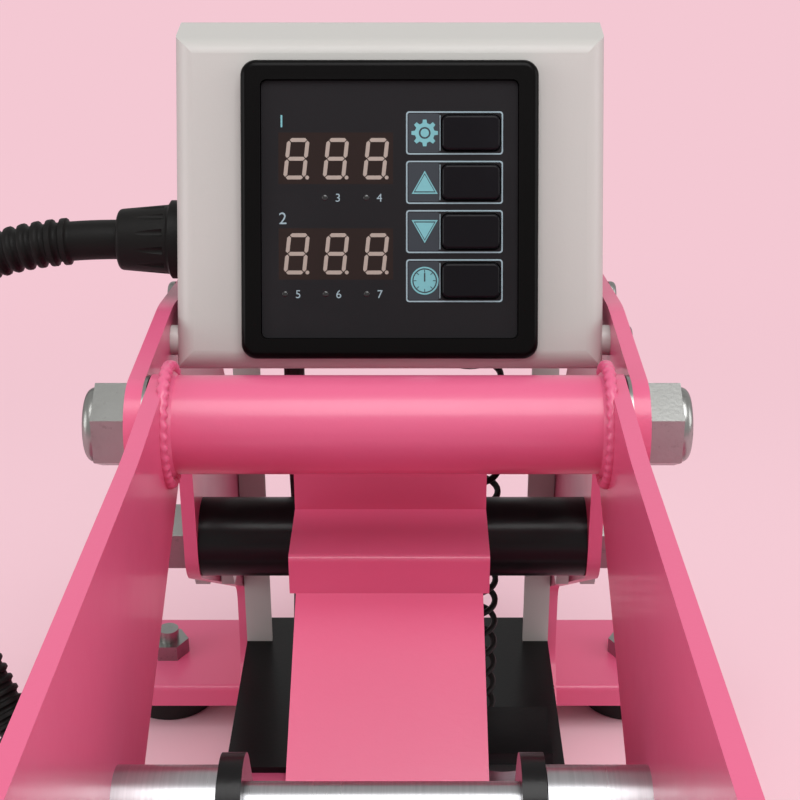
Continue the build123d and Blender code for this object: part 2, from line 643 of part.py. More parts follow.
# Press arm: a welded box section with a hub on the sleeve, open at its front end
hinge_y, hinge_z = ARM_PIVOT
knee = (ARM_KNEE_Y, ARM_BOTTOM)
under = tangent_point(knee, ARM_PIVOT, ARM_HUB_R, -1)
STEP_Y, STEP_Z = (66.0, 97.0, 128.0), (223.5, 242.0)
back = tangent_point((STEP_Y[2], STEP_Z[1]), ARM_PIVOT, ARM_HUB_R, 1)
ARM_SLOPE = 26.35
slope_z = STEP_Z[0] - 7.6         # height of the sloping top where it meets the step
slope_y = STEP_Y[0] - (slope_z - ARM_TOP) / tan(radians(ARM_SLOPE))
arm_sleeve_bore = SLEEVE_D / 2 + RUN_CLEAR
with BuildPart() as arm:
    with BuildSketch(Plane.YZ.offset(-ARM_HALF)) as arm_side:
        with BuildLine():
            Polyline(under, knee, (ARM_FRONT, ARM_BOTTOM), (ARM_FRONT, ARM_TOP), (slope_y, ARM_TOP),
                     (STEP_Y[0], slope_z), (STEP_Y[0], STEP_Z[0]), (STEP_Y[1], STEP_Z[0]),
                     (STEP_Y[1], STEP_Z[1]), (STEP_Y[2], STEP_Z[1]), back)
            ThreePointArc(back, (hinge_y + ARM_HUB_R, hinge_z), under)
        make_face()
        with Locations(ARM_PIVOT):
            Circle(arm_sleeve_bore, mode=Mode.SUBTRACT)
    extrude(amount=2 * ARM_HALF)
    long_edges = arm.edges().filter_by(Axis.Y).filter_by(lambda e: e.center().Y < ARM_KNEE_Y)
    fillet(long_edges, radius=3)
    # the hollow follows the outline one wall inside and leaves a hub round the sleeve
    with BuildSketch(Plane.YZ.offset(-ARM_HALF + ARM_WALL)):
        with BuildLine():
            lower = ARM_BOTTOM + ARM_WALL
            top = ARM_TOP - ARM_WALL
            Polyline((ARM_FRONT - 1, lower), (ARM_KNEE_Y, lower), (hinge_y - ARM_HUB_R, 158),
                     (hinge_y - ARM_HUB_R, STEP_Z[0] - ARM_WALL), (STEP_Y[0] + ARM_WALL, STEP_Z[0] - ARM_WALL),
                     (STEP_Y[0] - ARM_WALL, slope_z - 2 * ARM_WALL), (slope_y, top), (ARM_FRONT - 1, top),
                     close=True)
        make_face()
        with Locations(LINK_PIN):
            Circle(PIN_D / 2 + 5, mode=Mode.SUBTRACT)
        with Locations((PLATEN_Y, (ARM_BOTTOM + ARM_TOP) / 2)):
            Rectangle(SCREW_D + 14, ARM_TOP, mode=Mode.SUBTRACT)
    extrude(amount=2 * (ARM_HALF - ARM_WALL), mode=Mode.SUBTRACT)
    with BuildSketch(Plane.YZ.offset(-ARM_HALF)):
        with Locations(LINK_PIN):
            Circle(PIN_D / 2)
    extrude(amount=2 * ARM_HALF, mode=Mode.SUBTRACT)
    with BuildSketch(Plane.XY.offset(ARM_BOTTOM)):
        with Locations((0, PLATEN_Y)):
            Circle(SCREW_D / 2 + RUN_CLEAR)
    extrude(amount=ARM_TOP - ARM_BOTTOM, mode=Mode.SUBTRACT)
save(arm, "arm")

# bent plate that steps up over the top of the arm
with BuildPart() as step_bracket:
    with BuildSketch(Plane.YZ.offset(-STEP_HALF)):
        with BuildLine():
            y0, y1, y2 = STEP_Y
            z0, z1 = STEP_Z
            Polyline((y0, slope_z - 2), (y0, z0), (y1, z0), (y1, z1), (y2, z1), (y2, z1 + STEP_T),
                     (y1 - STEP_T, z1 + STEP_T), (y1 - STEP_T, z0 + STEP_T),
                     (y0 - STEP_T, z0 + STEP_T), (y0 - STEP_T, slope_z - 2), close=True)
        make_face()
    extrude(amount=2 * STEP_HALF)
    folds = step_bracket.edges().filter_by(Axis.X).filter_by(
        lambda e: e.center().Z > STEP_Z[0] + STEP_T - 0.1 and e.center().Y < STEP_Y[1] - 0.1
        and not (abs(e.center().Y - STEP_Y[1] + STEP_T) < 0.1 and e.center().Z < STEP_Z[1]))
    fillet(folds, radius=2)
    with BuildSketch(Plane.YZ.offset(-ARM_HALF)):
        with BuildLine():
            Polyline((y0 - STEP_T - 1, z0 - 20), (y0, z0 - 20), (y0, slope_z),
                     (y0 - STEP_T - 1, slope_z - (STEP_T + 1) * tan(radians(ARM_SLOPE))), close=True)
        make_face()
    extrude(amount=2 * ARM_HALF, mode=Mode.SUBTRACT)
save(step_bracket, "arm_step_bracket")

with BuildPart() as link_pin:
    with BuildSketch(Plane.YZ.offset(-LINK_IN - LINK_T - 4)):
        with Locations(LINK_PIN):
            Circle(PIN_D / 2)
    extrude(amount=2 * (LINK_IN + LINK_T + 4))
    for side in (-1, 1):
        with BuildSketch(Plane.YZ.offset(side * (LINK_IN + LINK_T + FREE_GAP))):
            with Locations(LINK_PIN):
                Circle(PIN_D / 2 + 4)
        extrude(amount=side * 2.5)
        with BuildSketch(Plane.YZ.offset(side * ARM_HALF)):
            with Locations(LINK_PIN):
                Circle(PIN_D / 2 + 3)
        extrude(amount=side * (LINK_IN - ARM_HALF - FREE_GAP))
save(link_pin, "link_pin")

# Lower platen with its pad, and the heated upper platen under a raised cover
with BuildPart() as platen_spacers:
    with BuildSketch(Plane.XY.offset(rail_top)):
        with Locations(*[(side * (rail_in + rail_out) / 2, y)
                         for side in (-1, 1) for y in (PLATEN_Y - SPACER_REACH, PLATEN_Y + SPACER_REACH)]):
            Circle(SPACER_D / 2)
    extrude(amount=SPACER_H)
save(platen_spacers, "platen_spacers")

with BuildPart() as lower_platen:
    with BuildSketch(Plane.XY.offset(bed_bottom)):
        with Locations((0, PLATEN_Y)):
            RectangleRounded(PLATEN, PLATEN, PLATEN_R)
    extrude(amount=BED_T)
    chamfer(lower_platen.faces().sort_by(Axis.Z)[-1].edges(), 0.8)
save(lower_platen, "lower_platen")

with BuildPart() as pad:
    with BuildSketch(Plane.XY.offset(bed_top)):
        with Locations((0, PLATEN_Y)):
            RectangleRounded(PLATEN - 2 * PAD_INSET, PLATEN - 2 * PAD_INSET, PLATEN_R - PAD_INSET)
    extrude(amount=PAD_T)
    fillet(pad.faces().sort_by(Axis.Z)[-1].edges(), radius=1)
save(pad, "silicone_pad")

with BuildPart() as heat_platen:
    with BuildSketch(Plane.XY.offset(heater_bottom)):
        with Locations((0, PLATEN_Y)):
            RectangleRounded(PLATEN, PLATEN, PLATEN_R)
    extrude(amount=HEATER_T)
    chamfer(heat_platen.faces().sort_by(Axis.Z)[0].edges(), 0.8)
save(heat_platen, "heat_platen")

COVER_T = 1.5
COVER_RIM, COVER_CROWN = 350.0, 300.0
with BuildPart() as cover:
    with BuildSketch(Plane.XY.offset(heater_top)):
        with Locations((0, PLATEN_Y)):
            RectangleRounded(COVER_RIM, COVER_RIM, PLATEN_R)
    with BuildSketch(Plane.XY.offset(cover_top)):
        with Locations((0, PLATEN_Y)):
            RectangleRounded(COVER_CROWN, COVER_CROWN, PLATEN_R)
    loft()
    offset(amount=-COVER_T, openings=cover.faces().sort_by(Axis.Z)[0])
    with BuildSketch(Plane.XY.offset(heater_top)):
        with Locations((0, PLATEN_Y)):
            Circle(HUB_D / 2 + 1)
    extrude(amount=COVER_H, mode=Mode.SUBTRACT)
save(cover, "platen_cover")

# the hub takes the journal of the pressure screw and holds its collar down
SCREW_COLLAR_D, SCREW_COLLAR_H = 24.0, 4.0
collar_z = heater_top + HUB_H - 6
with BuildPart() as hub:
    with BuildSketch(Plane.XY.offset(heater_top)):
        with Locations((0, PLATEN_Y)):
            Circle(HUB_D / 2)
    extrude(amount=HUB_H)
    fillet(hub.faces().sort_by(Axis.Z)[-1].edges(), radius=1.5)
    with BuildSketch(Plane.XY.offset(heater_top + 2)):
        with Locations((0, PLATEN_Y)):
            Circle(JOURNAL_D / 2 + RUN_CLEAR)
    extrude(amount=HUB_H, mode=Mode.SUBTRACT)
    with BuildSketch(Plane.XY.offset(collar_z - 0.3)):
        with Locations((0, PLATEN_Y)):
            Circle(SCREW_COLLAR_D / 2 + 0.4)
    extrude(amount=SCREW_COLLAR_H + 0.6, mode=Mode.SUBTRACT)
    with BuildSketch(Plane.XY.offset(collar_z)):
        with Locations((0, PLATEN_Y)):
            Circle(SCREW_D / 2 + 0.4)
    extrude(amount=HUB_H, mode=Mode.SUBTRACT)
save(hub, "platen_hub")

NUT_PLATE_H = 12.0
KNOB_RISE = 26.0          # from the nut's top to the knob, clear of the crank shaft
knob_z = ARM_TOP + NUT_PLATE_H + KNOB_RISE
with BuildPart() as screw:
    with BuildSketch(Plane.XZ.offset(-PLATEN_Y)):
        with BuildLine():
            Polyline((0, heater_top + 2.5), (JOURNAL_D / 2, heater_top + 2.5), (JOURNAL_D / 2, collar_z),
                     (SCREW_COLLAR_D / 2, collar_z), (SCREW_COLLAR_D / 2, collar_z + SCREW_COLLAR_H),
                     (SCREW_D / 2, collar_z + SCREW_COLLAR_H), (SCREW_D / 2, knob_z),
                     (JOURNAL_D / 2, knob_z), (JOURNAL_D / 2, knob_z + KNOB_H - 3),
                     (0, knob_z + KNOB_H - 3), close=True)
        make_face()
    revolve(axis=Axis((0, PLATEN_Y, 0), (0, 0, 1)))
save(screw, "pressure_screw")

with BuildPart() as screw_nut:
    with BuildSketch(Plane.XY.offset(ARM_TOP)):
        with Locations((0, PLATEN_Y)):
            RegularPolygon(15, 6, major_radius=False)
            Circle(SCREW_D / 2 + RUN_CLEAR, mode=Mode.SUBTRACT)
    extrude(amount=NUT_PLATE_H)
save(screw_nut, "screw_nut")

with BuildPart() as knob:
    with BuildSketch(Plane.XY.offset(knob_z)):
        with Locations((0, PLATEN_Y)):
            Circle(KNOB_D / 2)
            with PolarLocations(KNOB_D / 2 + 5, 7):
                Circle(9, mode=Mode.SUBTRACT)
    extrude(amount=KNOB_H)
    fillet(knob.faces().sort_by(Axis.Z)[-1].edges(), radius=3)
    with BuildSketch(Plane.XY.offset(knob_z)):
        with Locations((0, PLATEN_Y)):
            Circle(JOURNAL_D / 2)
    extrude(amount=KNOB_H - 3, mode=Mode.SUBTRACT)
save(knob, "pressure_knob")

# gland on the rear of the platen for the heater's hose
PLATEN_GLAND_X, PLATEN_GLAND_L = 50.0 - PLATEN / 2, 22.0
platen_rear = PLATEN_Y + PLATEN / 2
gland_z = heater_bottom + HEATER_T / 2
with BuildPart() as platen_gland:
    with BuildSketch(Plane.XZ.offset(-platen_rear)):
        with Locations((PLATEN_GLAND_X, gland_z)):
            RectangleRounded(34, HEATER_T - 1, 2)
    extrude(amount=-5)
    with BuildSketch(Plane.XZ.offset(-platen_rear - 5)):
        with Locations((PLATEN_GLAND_X, gland_z)):
            Circle(HOSE_D / 2 + 1.2)
    extrude(amount=-(PLATEN_GLAND_L - 5), taper=2)
save(platen_gland, "platen_gland")

# Gas spring between the base and the arm, drawn along its axis in the YZ plane
span = (SPRING_HEAD[0] - SPRING_BASE[0], SPRING_HEAD[1] - SPRING_BASE[1])
spring_len = hypot(*span)
along = (span[0] / spring_len, span[1] / spring_len)


def spring_plane(distance):
    """Plane across the gas spring's axis at a distance from its base pin."""
    return Plane(origin=(0, SPRING_BASE[0] + along[0] * distance, SPRING_BASE[1] + along[1] * distance),
                 x_dir=(1, 0, 0), z_dir=(0, *along))


def beside(distance, radius):
    """Point at a distance along the gas spring's axis and a radius from it."""
    return (SPRING_BASE[0] + along[0] * distance - along[1] * radius,
            SPRING_BASE[1] + along[1] * distance + along[0] * radius)


with BuildPart() as spring_body:
    with BuildSketch(Plane.YZ):
        with BuildLine():
            FilletPolyline(beside(EYE_R - 2, 0), beside(EYE_R - 2, EYE_W / 2 - 0.5),
                           beside(EYE_R + 3, EYE_W / 2 - 0.5), beside(EYE_R + 3, SPRING_D / 2),
                           beside(SPRING_BODY_END, SPRING_D / 2), beside(SPRING_BODY_END, 0),
                           radius=[0.5, 0.5, 2, 2])
            Line(beside(SPRING_BODY_END, 0), beside(EYE_R - 2, 0))
        make_face()
    revolve(axis=Axis((0, *SPRING_BASE), (0, *along)))
    with BuildSketch(Plane.YZ.offset(-EYE_W / 2)):
        with Locations(SPRING_BASE):
            Circle(EYE_R)
    extrude(amount=EYE_W)
    with BuildSketch(Plane.YZ.offset(-EYE_W / 2)):
        with Locations(SPRING_BASE):
            Circle(SPRING_PIN_D / 2 + RUN_CLEAR)
    extrude(amount=EYE_W, mode=Mode.SUBTRACT)
    with BuildSketch(spring_plane(SPRING_BORE_FROM)):
        Circle(ROD_D / 2 + RUN_CLEAR)
    extrude(amount=SPRING_BODY_END, mode=Mode.SUBTRACT)
save(spring_body, "gas_spring_body")

with BuildPart() as spring_rod:
    with BuildSketch(spring_plane(ROD_FROM)):
        Circle(ROD_D / 2)
    extrude(amount=spring_len - ROD_FROM - EYE_R + 1)
    with BuildSketch(Plane.YZ.offset(-EYE_W / 2)):
        with Locations(SPRING_HEAD):
            Circle(EYE_R)
    extrude(amount=EYE_W)
    with BuildSketch(Plane.YZ.offset(-EYE_W / 2)):
        with Locations(SPRING_HEAD):
            Circle(SPRING_PIN_D / 2 + SPRING_PLAY)
    extrude(amount=EYE_W, mode=Mode.SUBTRACT)
save(spring_rod, "gas_spring_rod")

clevis_x = EYE_W / 2 + FREE_GAP
with BuildPart() as base_clevis:
    with BuildSketch(Plane.XY.offset(SPRING_BASE[1] - 14)):
        with Locations((0, SPRING_BASE[0])):
            Rectangle(2 * rail_in, 34)
    extrude(amount=CLEVIS_T)
    for side in (-1, 1):
        with BuildSketch(Plane.YZ.offset(side * clevis_x)):
            with Locations(SPRING_BASE):
                Circle(EYE_R + 1)
            with Locations((SPRING_BASE[0], SPRING_BASE[1] - 13)):
                Rectangle(26, 2)
            make_hull()
        extrude(amount=side * CLEVIS_T)
    with BuildSketch(Plane.YZ.offset(-clevis_x - CLEVIS_T - 2)):
        with Locations(SPRING_BASE):
            Circle(SPRING_PIN_D / 2)
    extrude(amount=2 * (clevis_x + CLEVIS_T + 2))
save(base_clevis, "spring_base_bracket")

under_slope = (under[1] - knee[1]) / (under[0] - knee[0])


def arm_under(y):
    """Height of the arm's rising underside at a given Y."""
    return knee[1] + (y - knee[0]) * under_slope


with BuildPart() as arm_clevis:
    for side in (-1, 1):
        with BuildSketch(Plane.YZ.offset(side * clevis_x)):
            with BuildLine():
                y0, y1 = SPRING_HEAD[0] - 13, SPRING_HEAD[0] + 13
                z = SPRING_HEAD[1] - EYE_R - 1
                FilletPolyline((y0, arm_under(y0)), (SPRING_HEAD[0] - EYE_R - 1, z),
                               (SPRING_HEAD[0] + EYE_R + 1, z), (y1, arm_under(y1)), radius=[7, 7])
                Line((y1, arm_under(y1)), (y0, arm_under(y0)))
            make_face()
        extrude(amount=side * CLEVIS_T)
    with BuildSketch(Plane.YZ.offset(-clevis_x - CLEVIS_T - 2)):
        with Locations(SPRING_HEAD):
            Circle(SPRING_PIN_D / 2)
    extrude(amount=2 * (clevis_x + CLEVIS_T + 2))
save(arm_clevis, "spring_arm_bracket")

# Holding magnet on the right rail, and its armature on a bracket under the arm
STAND_W, STAND_T = 44.0, 4.0
magnet_bottom = MAGNET_TOP - MAGNET_H
with BuildPart() as stand:
    with BuildSketch(Plane.YZ.offset(rail_out - 14)):
        with BuildLine():
            Polyline((MAGNET_Y - STAND_W / 2, rail_top), (MAGNET_Y + STAND_W / 2, rail_top),
                     (MAGNET_Y + STAND_W / 2 - 4, magnet_bottom - STAND_T),
                     (MAGNET_Y - STAND_W / 2 + 4, magnet_bottom - STAND_T), close=True)
        make_face()
    extrude(amount=STAND_T)
    with BuildSketch(Plane.XY.offset(magnet_bottom - STAND_T)):
        with Locations((MAGNET_X, MAGNET_Y)):
            Rectangle(MAGNET_D + 4, STAND_W - 4)
    extrude(amount=STAND_T)
    with BuildSketch(Plane.XY.offset(rail_top)):
        with Locations((rail_in + 13, MAGNET_Y)):
            Rectangle(RAIL_W - 3, STAND_W)
    extrude(amount=STAND_T)
save(stand, "magnet_stand")

with BuildPart() as magnet:
    with BuildSketch(Plane.XY.offset(magnet_bottom)):
        with Locations((MAGNET_X, MAGNET_Y)):
            Circle(MAGNET_D / 2)
    extrude(amount=MAGNET_H)
    fillet(magnet.faces().sort_by(Axis.Z)[0].edges(), radius=1.5)
    # pot magnet: a round groove parts the pole from the rim
    with BuildSketch(Plane.XY.offset(MAGNET_TOP)):
        with Locations((MAGNET_X, MAGNET_Y)):
            Circle(MAGNET_D / 2 - 3)
            Circle(MAGNET_D / 2 - 7, mode=Mode.SUBTRACT)
    extrude(amount=-1.5, mode=Mode.SUBTRACT)
save(magnet, "electromagnet")

armature_top = MAGNET_TOP + MAGNET_GAP + ARMATURE_T
HANGER_T = 5.0
with BuildPart() as armature:
    with BuildSketch(Plane.XY.offset(MAGNET_TOP + MAGNET_GAP)):
        with Locations((MAGNET_X, MAGNET_Y)):
            Circle(MAGNET_D / 2)
    extrude(amount=ARMATURE_T)
    chamfer(armature.faces().sort_by(Axis.Z)[0].edges(), 0.6)
save(armature, "armature")

with BuildPart() as hanger:
    with BuildSketch(Plane.YZ.offset(ARM_HALF)):
        with BuildLine():
            y0, y1 = MAGNET_Y - 14, MAGNET_Y + 14
            Polyline((y0, armature_top), (y1, armature_top), (y1, arm_under(y1)), (y0, arm_under(y0)),
                     close=True)
        make_face()
    extrude(amount=-HANGER_T)
    with BuildSketch(Plane.XY.offset(armature_top)):
        with Locations(((ARM_HALF + MAGNET_X + MAGNET_D / 2 - HANGER_T) / 2, MAGNET_Y)):
            Rectangle(MAGNET_X + MAGNET_D / 2 - ARM_HALF + HANGER_T, 28)
    extrude(amount=HANGER_T)
save(hanger, "armature_bracket")

# Curly control cord from the housing's floor to the deck, as the round space its curls fill
with BuildPart() as curly:
    with BuildSketch(Plane.XY.offset(deck_top)):
        with Locations((CORD_X, CORD_Y)):
            Circle(COIL_D / 2)
    extrude(amount=BOX_BOTTOM - deck_top)
save(curly, "curly_cord")


def cord_radii(points):
    """Arc radius at each inner point: 0.45 of the shorter run over the tangent of half the turn."""
    radii = []
    for a, b, c in zip(points, points[1:], points[2:]):
        before, after = Vector(*b) - Vector(*a), Vector(*c) - Vector(*b)
        half = radians(before.get_angle(after)) / 2
        radii.append(round(0.45 * min(before.length, after.length) / tan(half), 2))
    return radii


# Cable loom from the housing's floor to the deck
loom_route = [(LOOM_X, LOOM_Y, BOX_BOTTOM), (LOOM_X, LOOM_Y, 213), (LOOM_X + 1.5, LOOM_Y + 2, 155),
              (LOOM_X - 0.5, LOOM_Y + 1, 104), (LOOM_X - 0.5, LOOM_Y + 1, deck_top)]
loom_radii = cord_radii(loom_route)
with BuildPart() as loom:
    with BuildLine() as loom_path:
        FilletPolyline(*loom_route, radius=loom_radii)
    loom_wire = loom_path.wires()[0]
    with BuildSketch(Plane(origin=loom_wire @ 0, z_dir=loom_wire % 0)):
        Circle(LOOM_D / 2)
    sweep(path=loom_wire)
print("loom radii:", loom_radii, "volume over section x length:",
      round(loom.part.volume / (pi * LOOM_D ** 2 / 4 * loom_wire.length), 4))
save(loom, "cable_loom")

# Ribbed hose from the housing's gland down and forward to the gland on the platen
RIB_PITCH = 4.6
RIB_CREST, RIB_VALLEY = 2.4, 1.3          # lengths along the hose
VALLEY_D, HOSE_BORE = 13.4, 10.0
hose_x = -BOX_HALF - GLAND_L
hose_end_y = platen_rear + PLATEN_GLAND_L
hose_route = [(hose_x, GLAND_Y, GLAND_Z), (-138, GLAND_Y, GLAND_Z), (-172, 141, 272), (-180, 147, 219),
              (-178, 156, 168), (-166, 158, 122), (PLATEN_GLAND_X, 133, gland_z),
              (PLATEN_GLAND_X, hose_end_y, gland_z)]
hose_radii = cord_radii(hose_route)
with BuildLine() as hose_path:
    FilletPolyline(*hose_route, radius=hose_radii)
hose_wire = hose_path.wires()[0]
hose_len = hose_wire.length
ribs = int((hose_len - 2 * HOSE_D) / RIB_PITCH)
rib_step = (hose_len - 2 * HOSE_D) / ribs
STEADY = Vector(1, 1, 0)


def hose_plane(distance):
    """Plane across the hose, its X axis held as steady as the route allows."""
    share = min(max(distance / hose_len, 0.0), 1.0)
    spot, course = hose_wire @ share, hose_wire % share
    return Plane(origin=spot, x_dir=STEADY - course * STEADY.dot(course), z_dir=course)


ramp = (rib_step - RIB_CREST - RIB_VALLEY) / 2
with BuildPart() as conduit:
    with BuildSketch(hose_plane(0)):
        Circle(VALLEY_D / 2)
    for i in range(ribs):
        s = HOSE_D + i * rib_step
        for ahead, diameter in ((RIB_VALLEY / 2, VALLEY_D), (RIB_VALLEY / 2 + ramp, HOSE_D),
                                (RIB_VALLEY / 2 + ramp + RIB_CREST, HOSE_D),
                                (rib_step - RIB_VALLEY / 2, VALLEY_D)):
            with BuildSketch(hose_plane(s + ahead)):
                Circle(diameter / 2)
    with BuildSketch(hose_plane(hose_len)):
        Circle(VALLEY_D / 2)
    loft(ruled=True)
    with BuildSketch(hose_plane(0)):
        Circle(HOSE_BORE / 2)
    sweep(path=hose_wire, mode=Mode.SUBTRACT)
print("hose radii:", hose_radii, "ribs:", ribs, "length:", round(hose_len, 1))
print("hose volume over mean section x length:", round(conduit.part.volume / (
    pi / 4 * (((HOSE_D + VALLEY_D) / 2) ** 2 - HOSE_BORE ** 2) * hose_len), 4))
save(conduit, "conduit")
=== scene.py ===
# %% [markdown]
# # A swing-arm heat press
# This lesson dresses the press's measured model. The model is loaded as a fixed frame: its parts
# keep their size and place, and Blender adds finishes, cords and the small details. Lengths are
# in metres, X points to the operator's right, Y to the rear and Z up. The controller's details
# are laid out in millimetres on its sloping front, as they would be on a drawing of it.

# %% Load the frame
from math import atan2, cos, pi, radians, sin
import bpy
from mathutils import Matrix, Vector


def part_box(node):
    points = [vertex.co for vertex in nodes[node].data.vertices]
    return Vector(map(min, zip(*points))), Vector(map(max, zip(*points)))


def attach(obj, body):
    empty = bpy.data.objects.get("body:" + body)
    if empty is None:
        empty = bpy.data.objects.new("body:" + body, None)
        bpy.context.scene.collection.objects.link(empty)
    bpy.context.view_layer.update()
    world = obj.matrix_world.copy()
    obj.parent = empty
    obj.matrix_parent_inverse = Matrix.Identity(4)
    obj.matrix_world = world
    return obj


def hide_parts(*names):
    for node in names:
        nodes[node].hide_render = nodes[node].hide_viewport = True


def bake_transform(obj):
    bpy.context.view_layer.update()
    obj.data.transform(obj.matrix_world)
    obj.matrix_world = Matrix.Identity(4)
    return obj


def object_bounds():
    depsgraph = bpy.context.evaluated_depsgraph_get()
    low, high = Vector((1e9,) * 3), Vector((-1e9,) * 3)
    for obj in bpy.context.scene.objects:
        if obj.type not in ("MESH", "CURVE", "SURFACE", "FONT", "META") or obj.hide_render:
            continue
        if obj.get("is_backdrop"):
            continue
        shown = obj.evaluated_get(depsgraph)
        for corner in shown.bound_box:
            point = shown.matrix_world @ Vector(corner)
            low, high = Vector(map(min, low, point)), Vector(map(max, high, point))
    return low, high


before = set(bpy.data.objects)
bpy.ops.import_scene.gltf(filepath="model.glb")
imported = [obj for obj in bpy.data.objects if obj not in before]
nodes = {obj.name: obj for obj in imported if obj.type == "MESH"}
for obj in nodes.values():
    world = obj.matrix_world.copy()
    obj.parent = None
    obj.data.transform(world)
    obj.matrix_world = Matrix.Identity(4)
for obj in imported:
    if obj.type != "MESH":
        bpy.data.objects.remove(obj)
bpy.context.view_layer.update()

# %% [markdown]
# ## Camera
# The photograph looks down at the control box from just above and in front of it. A lens of
# 69.75 mm on a 36 mm sensor gives that mild perspective, and a small shift puts the machine's
# middle where the photograph has it, a little left of the picture's middle.

# %% Camera
camera_data = bpy.data.cameras.new("Camera")
camera_data.lens, camera_data.sensor_width = 69.75, 36.0
camera_data.shift_x = -0.0169
camera = bpy.data.objects.new("Camera", camera_data)
camera.location = (0.0077, -0.362, 0.480)
camera.rotation_euler = (radians(65), 0, 0)
bpy.context.scene.collection.objects.link(camera)
bpy.context.scene.camera = camera
print("camera at", tuple(round(v, 3) for v in camera.location))

# %% [markdown]
# ## Floor and light
# A studio sweep is a plain floor under broad, soft lamps. The paint shows long soft highlights
# along the round tube, so one wide lamp hangs above and in front, with a weaker one on each side
# to keep the flanks readable.

# %% Floor and light
def select_only(obj):
    """Deselects everything, then makes obj the one selected and active object."""
    if bpy.context.object and bpy.context.object.mode != "OBJECT":
        bpy.ops.object.mode_set(mode="OBJECT")
    bpy.ops.object.select_all(action="DESELECT")
    obj.select_set(True)
    bpy.context.view_layer.objects.active = obj
    return obj


FLOOR_MIDDLE = (0, 2, 0)
bpy.ops.object.select_all(action="DESELECT")
bpy.ops.mesh.primitive_plane_add(size=14, location=FLOOR_MIDDLE)
floor = bpy.context.object
floor.name = "Floor"
floor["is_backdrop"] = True


def soft_lamp(name, place, aim, size, power):
    """A square area lamp at a place, turned towards a point."""
    data = bpy.data.lights.new(name, "AREA")
    data.size, data.energy = size, power
    lamp = bpy.data.objects.new(name, data)
    lamp.location = place
    lamp.rotation_euler = (Vector(aim) - Vector(place)).to_track_quat("-Z", "Y").to_euler()
    bpy.context.scene.collection.objects.link(lamp)
    return lamp


machine_middle = (0, 0, 0.2)
soft_lamp("Lamp_above", (0.15, -0.55, 1.75), machine_middle, 1.1, 17)
soft_lamp("Lamp_left", (-1.7, -0.5, 0.75), machine_middle, 1.0, 8)
soft_lamp("Lamp_right", (1.7, -0.2, 0.9), machine_middle, 1.0, 7)
bpy.context.scene.view_settings.view_transform = "Standard"

# %% [markdown]
# ## Finishes written as expressions
# A finish is a small sum of patterns. A wrapped socket lets the sums be written as Python
# expressions, and each operator adds its Math node. One method adds any other node from its
# type, its settings and the values or links of its sockets.

# %% Helpers for finishes
class Wire:
    """A value on its way between shader nodes."""
    def __init__(self, finish, socket):
        self.finish, self.socket = finish, socket

    def _sum(self, how, a, b):
        return self.finish.add("Math", {"operation": how}, {0: a, 1: b})[0]

    def __add__(self, other): return self._sum("ADD", self, other)
    def __radd__(self, other): return self._sum("ADD", other, self)
    def __sub__(self, other): return self._sum("SUBTRACT", self, other)
    def __rsub__(self, other): return self._sum("SUBTRACT", other, self)
    def __mul__(self, other): return self._sum("MULTIPLY", self, other)
    def __rmul__(self, other): return self._sum("MULTIPLY", other, self)


class Step:
    """A node that was added; its outputs come by name or number."""
    def __init__(self, finish, node):
        self.finish, self.node = finish, node

    def __getitem__(self, output):
        return Wire(self.finish, self.node.outputs[output])


class Finish:
    """A material being written. spot is the place on the piece."""
    def __init__(self, name, world=False):
        self.data = bpy.data.worlds.new(name) if world else bpy.data.materials.new(name)
        self.data.use_nodes = True
        self.tree = self.data.node_tree
        self.tree.nodes.clear()
        if not world:
            self.spot = self.add("TexCoord")["Object"]

    def add(self, kind, settings=None, values=None):
        """Adds a node: its settings are set first, then its sockets' values or links."""
        node = self.tree.nodes.new("ShaderNode" + kind)
        for key, value in (settings or {}).items():
            setattr(node, key, value)
        for key, value in (values or {}).items():
            if isinstance(value, Wire):
                self.tree.links.new(value.socket, node.inputs[key])
            else:
                node.inputs[key].default_value = value
        return Step(self, node)

    def noise(self, scale, detail=3.0, at=None):
        """Noise from 0 to 1; scale is in waves per metre."""
        return self.add("TexNoise", None, {"Vector": at or self.spot, "Scale": scale,
                                           "Detail": detail, "Roughness": 0.55})["Fac"]

    def stretched(self, scale_xyz):
        """The piece's coordinates scaled along each axis, for brushed or drawn grain."""
        return self.add("Mapping", None, {"Vector": self.spot, "Scale": scale_xyz})["Vector"]

    def band(self, value, low, high):
        """0 below low, 1 above high, smooth between."""
        return self.add("MapRange", {"interpolation_type": "SMOOTHSTEP"},
                        {"Value": value, "From Min": low, "From Max": high})["Result"]

    def blend(self, share, first, second):
        """A colour between two, by a share from 0 to 1."""
        mix = self.add("Mix", {"data_type": "RGBA"}, None)
        ports = [s for s in mix.node.inputs if s.type == "RGBA"]
        share_port = [s for s in mix.node.inputs if s.type == "VALUE"][0]
        for port, value in ((share_port, share), (ports[0], first), (ports[1], second)):
            if isinstance(value, Wire):
                self.tree.links.new(value.socket, port)
            else:
                port.default_value = value
        return Wire(self, [s for s in mix.node.outputs if s.type == "RGBA"][0])

    def relief(self, height, depth):
        """A surface normal from a height pattern; depth is in metres."""
        return self.add("Bump", None, {"Height": height, "Distance": depth,
                                       "Strength": 1.0})["Normal"]

    def surface(self, **values):
        """Ends the finish in one Principled shader."""
        named = {k.replace("_", " "): v for k, v in values.items()}
        shader = self.add("BsdfPrincipled", None, named)
        self.add("OutputMaterial", None, {"Surface": shader["BSDF"]})
        self.data.diffuse_color = (0.5, 0.5, 0.5, 1)
        return self.data


def rgb(red, green, blue):
    """A colour as seen on screen, 0 to 255, as the linear numbers that shaders use."""
    return tuple((c / 255 / 12.92) if c <= 10 else ((c / 255 + 0.055) / 1.055) ** 2.4
                 for c in (red, green, blue)) + (1.0,)


print("helpers for finishes ready")

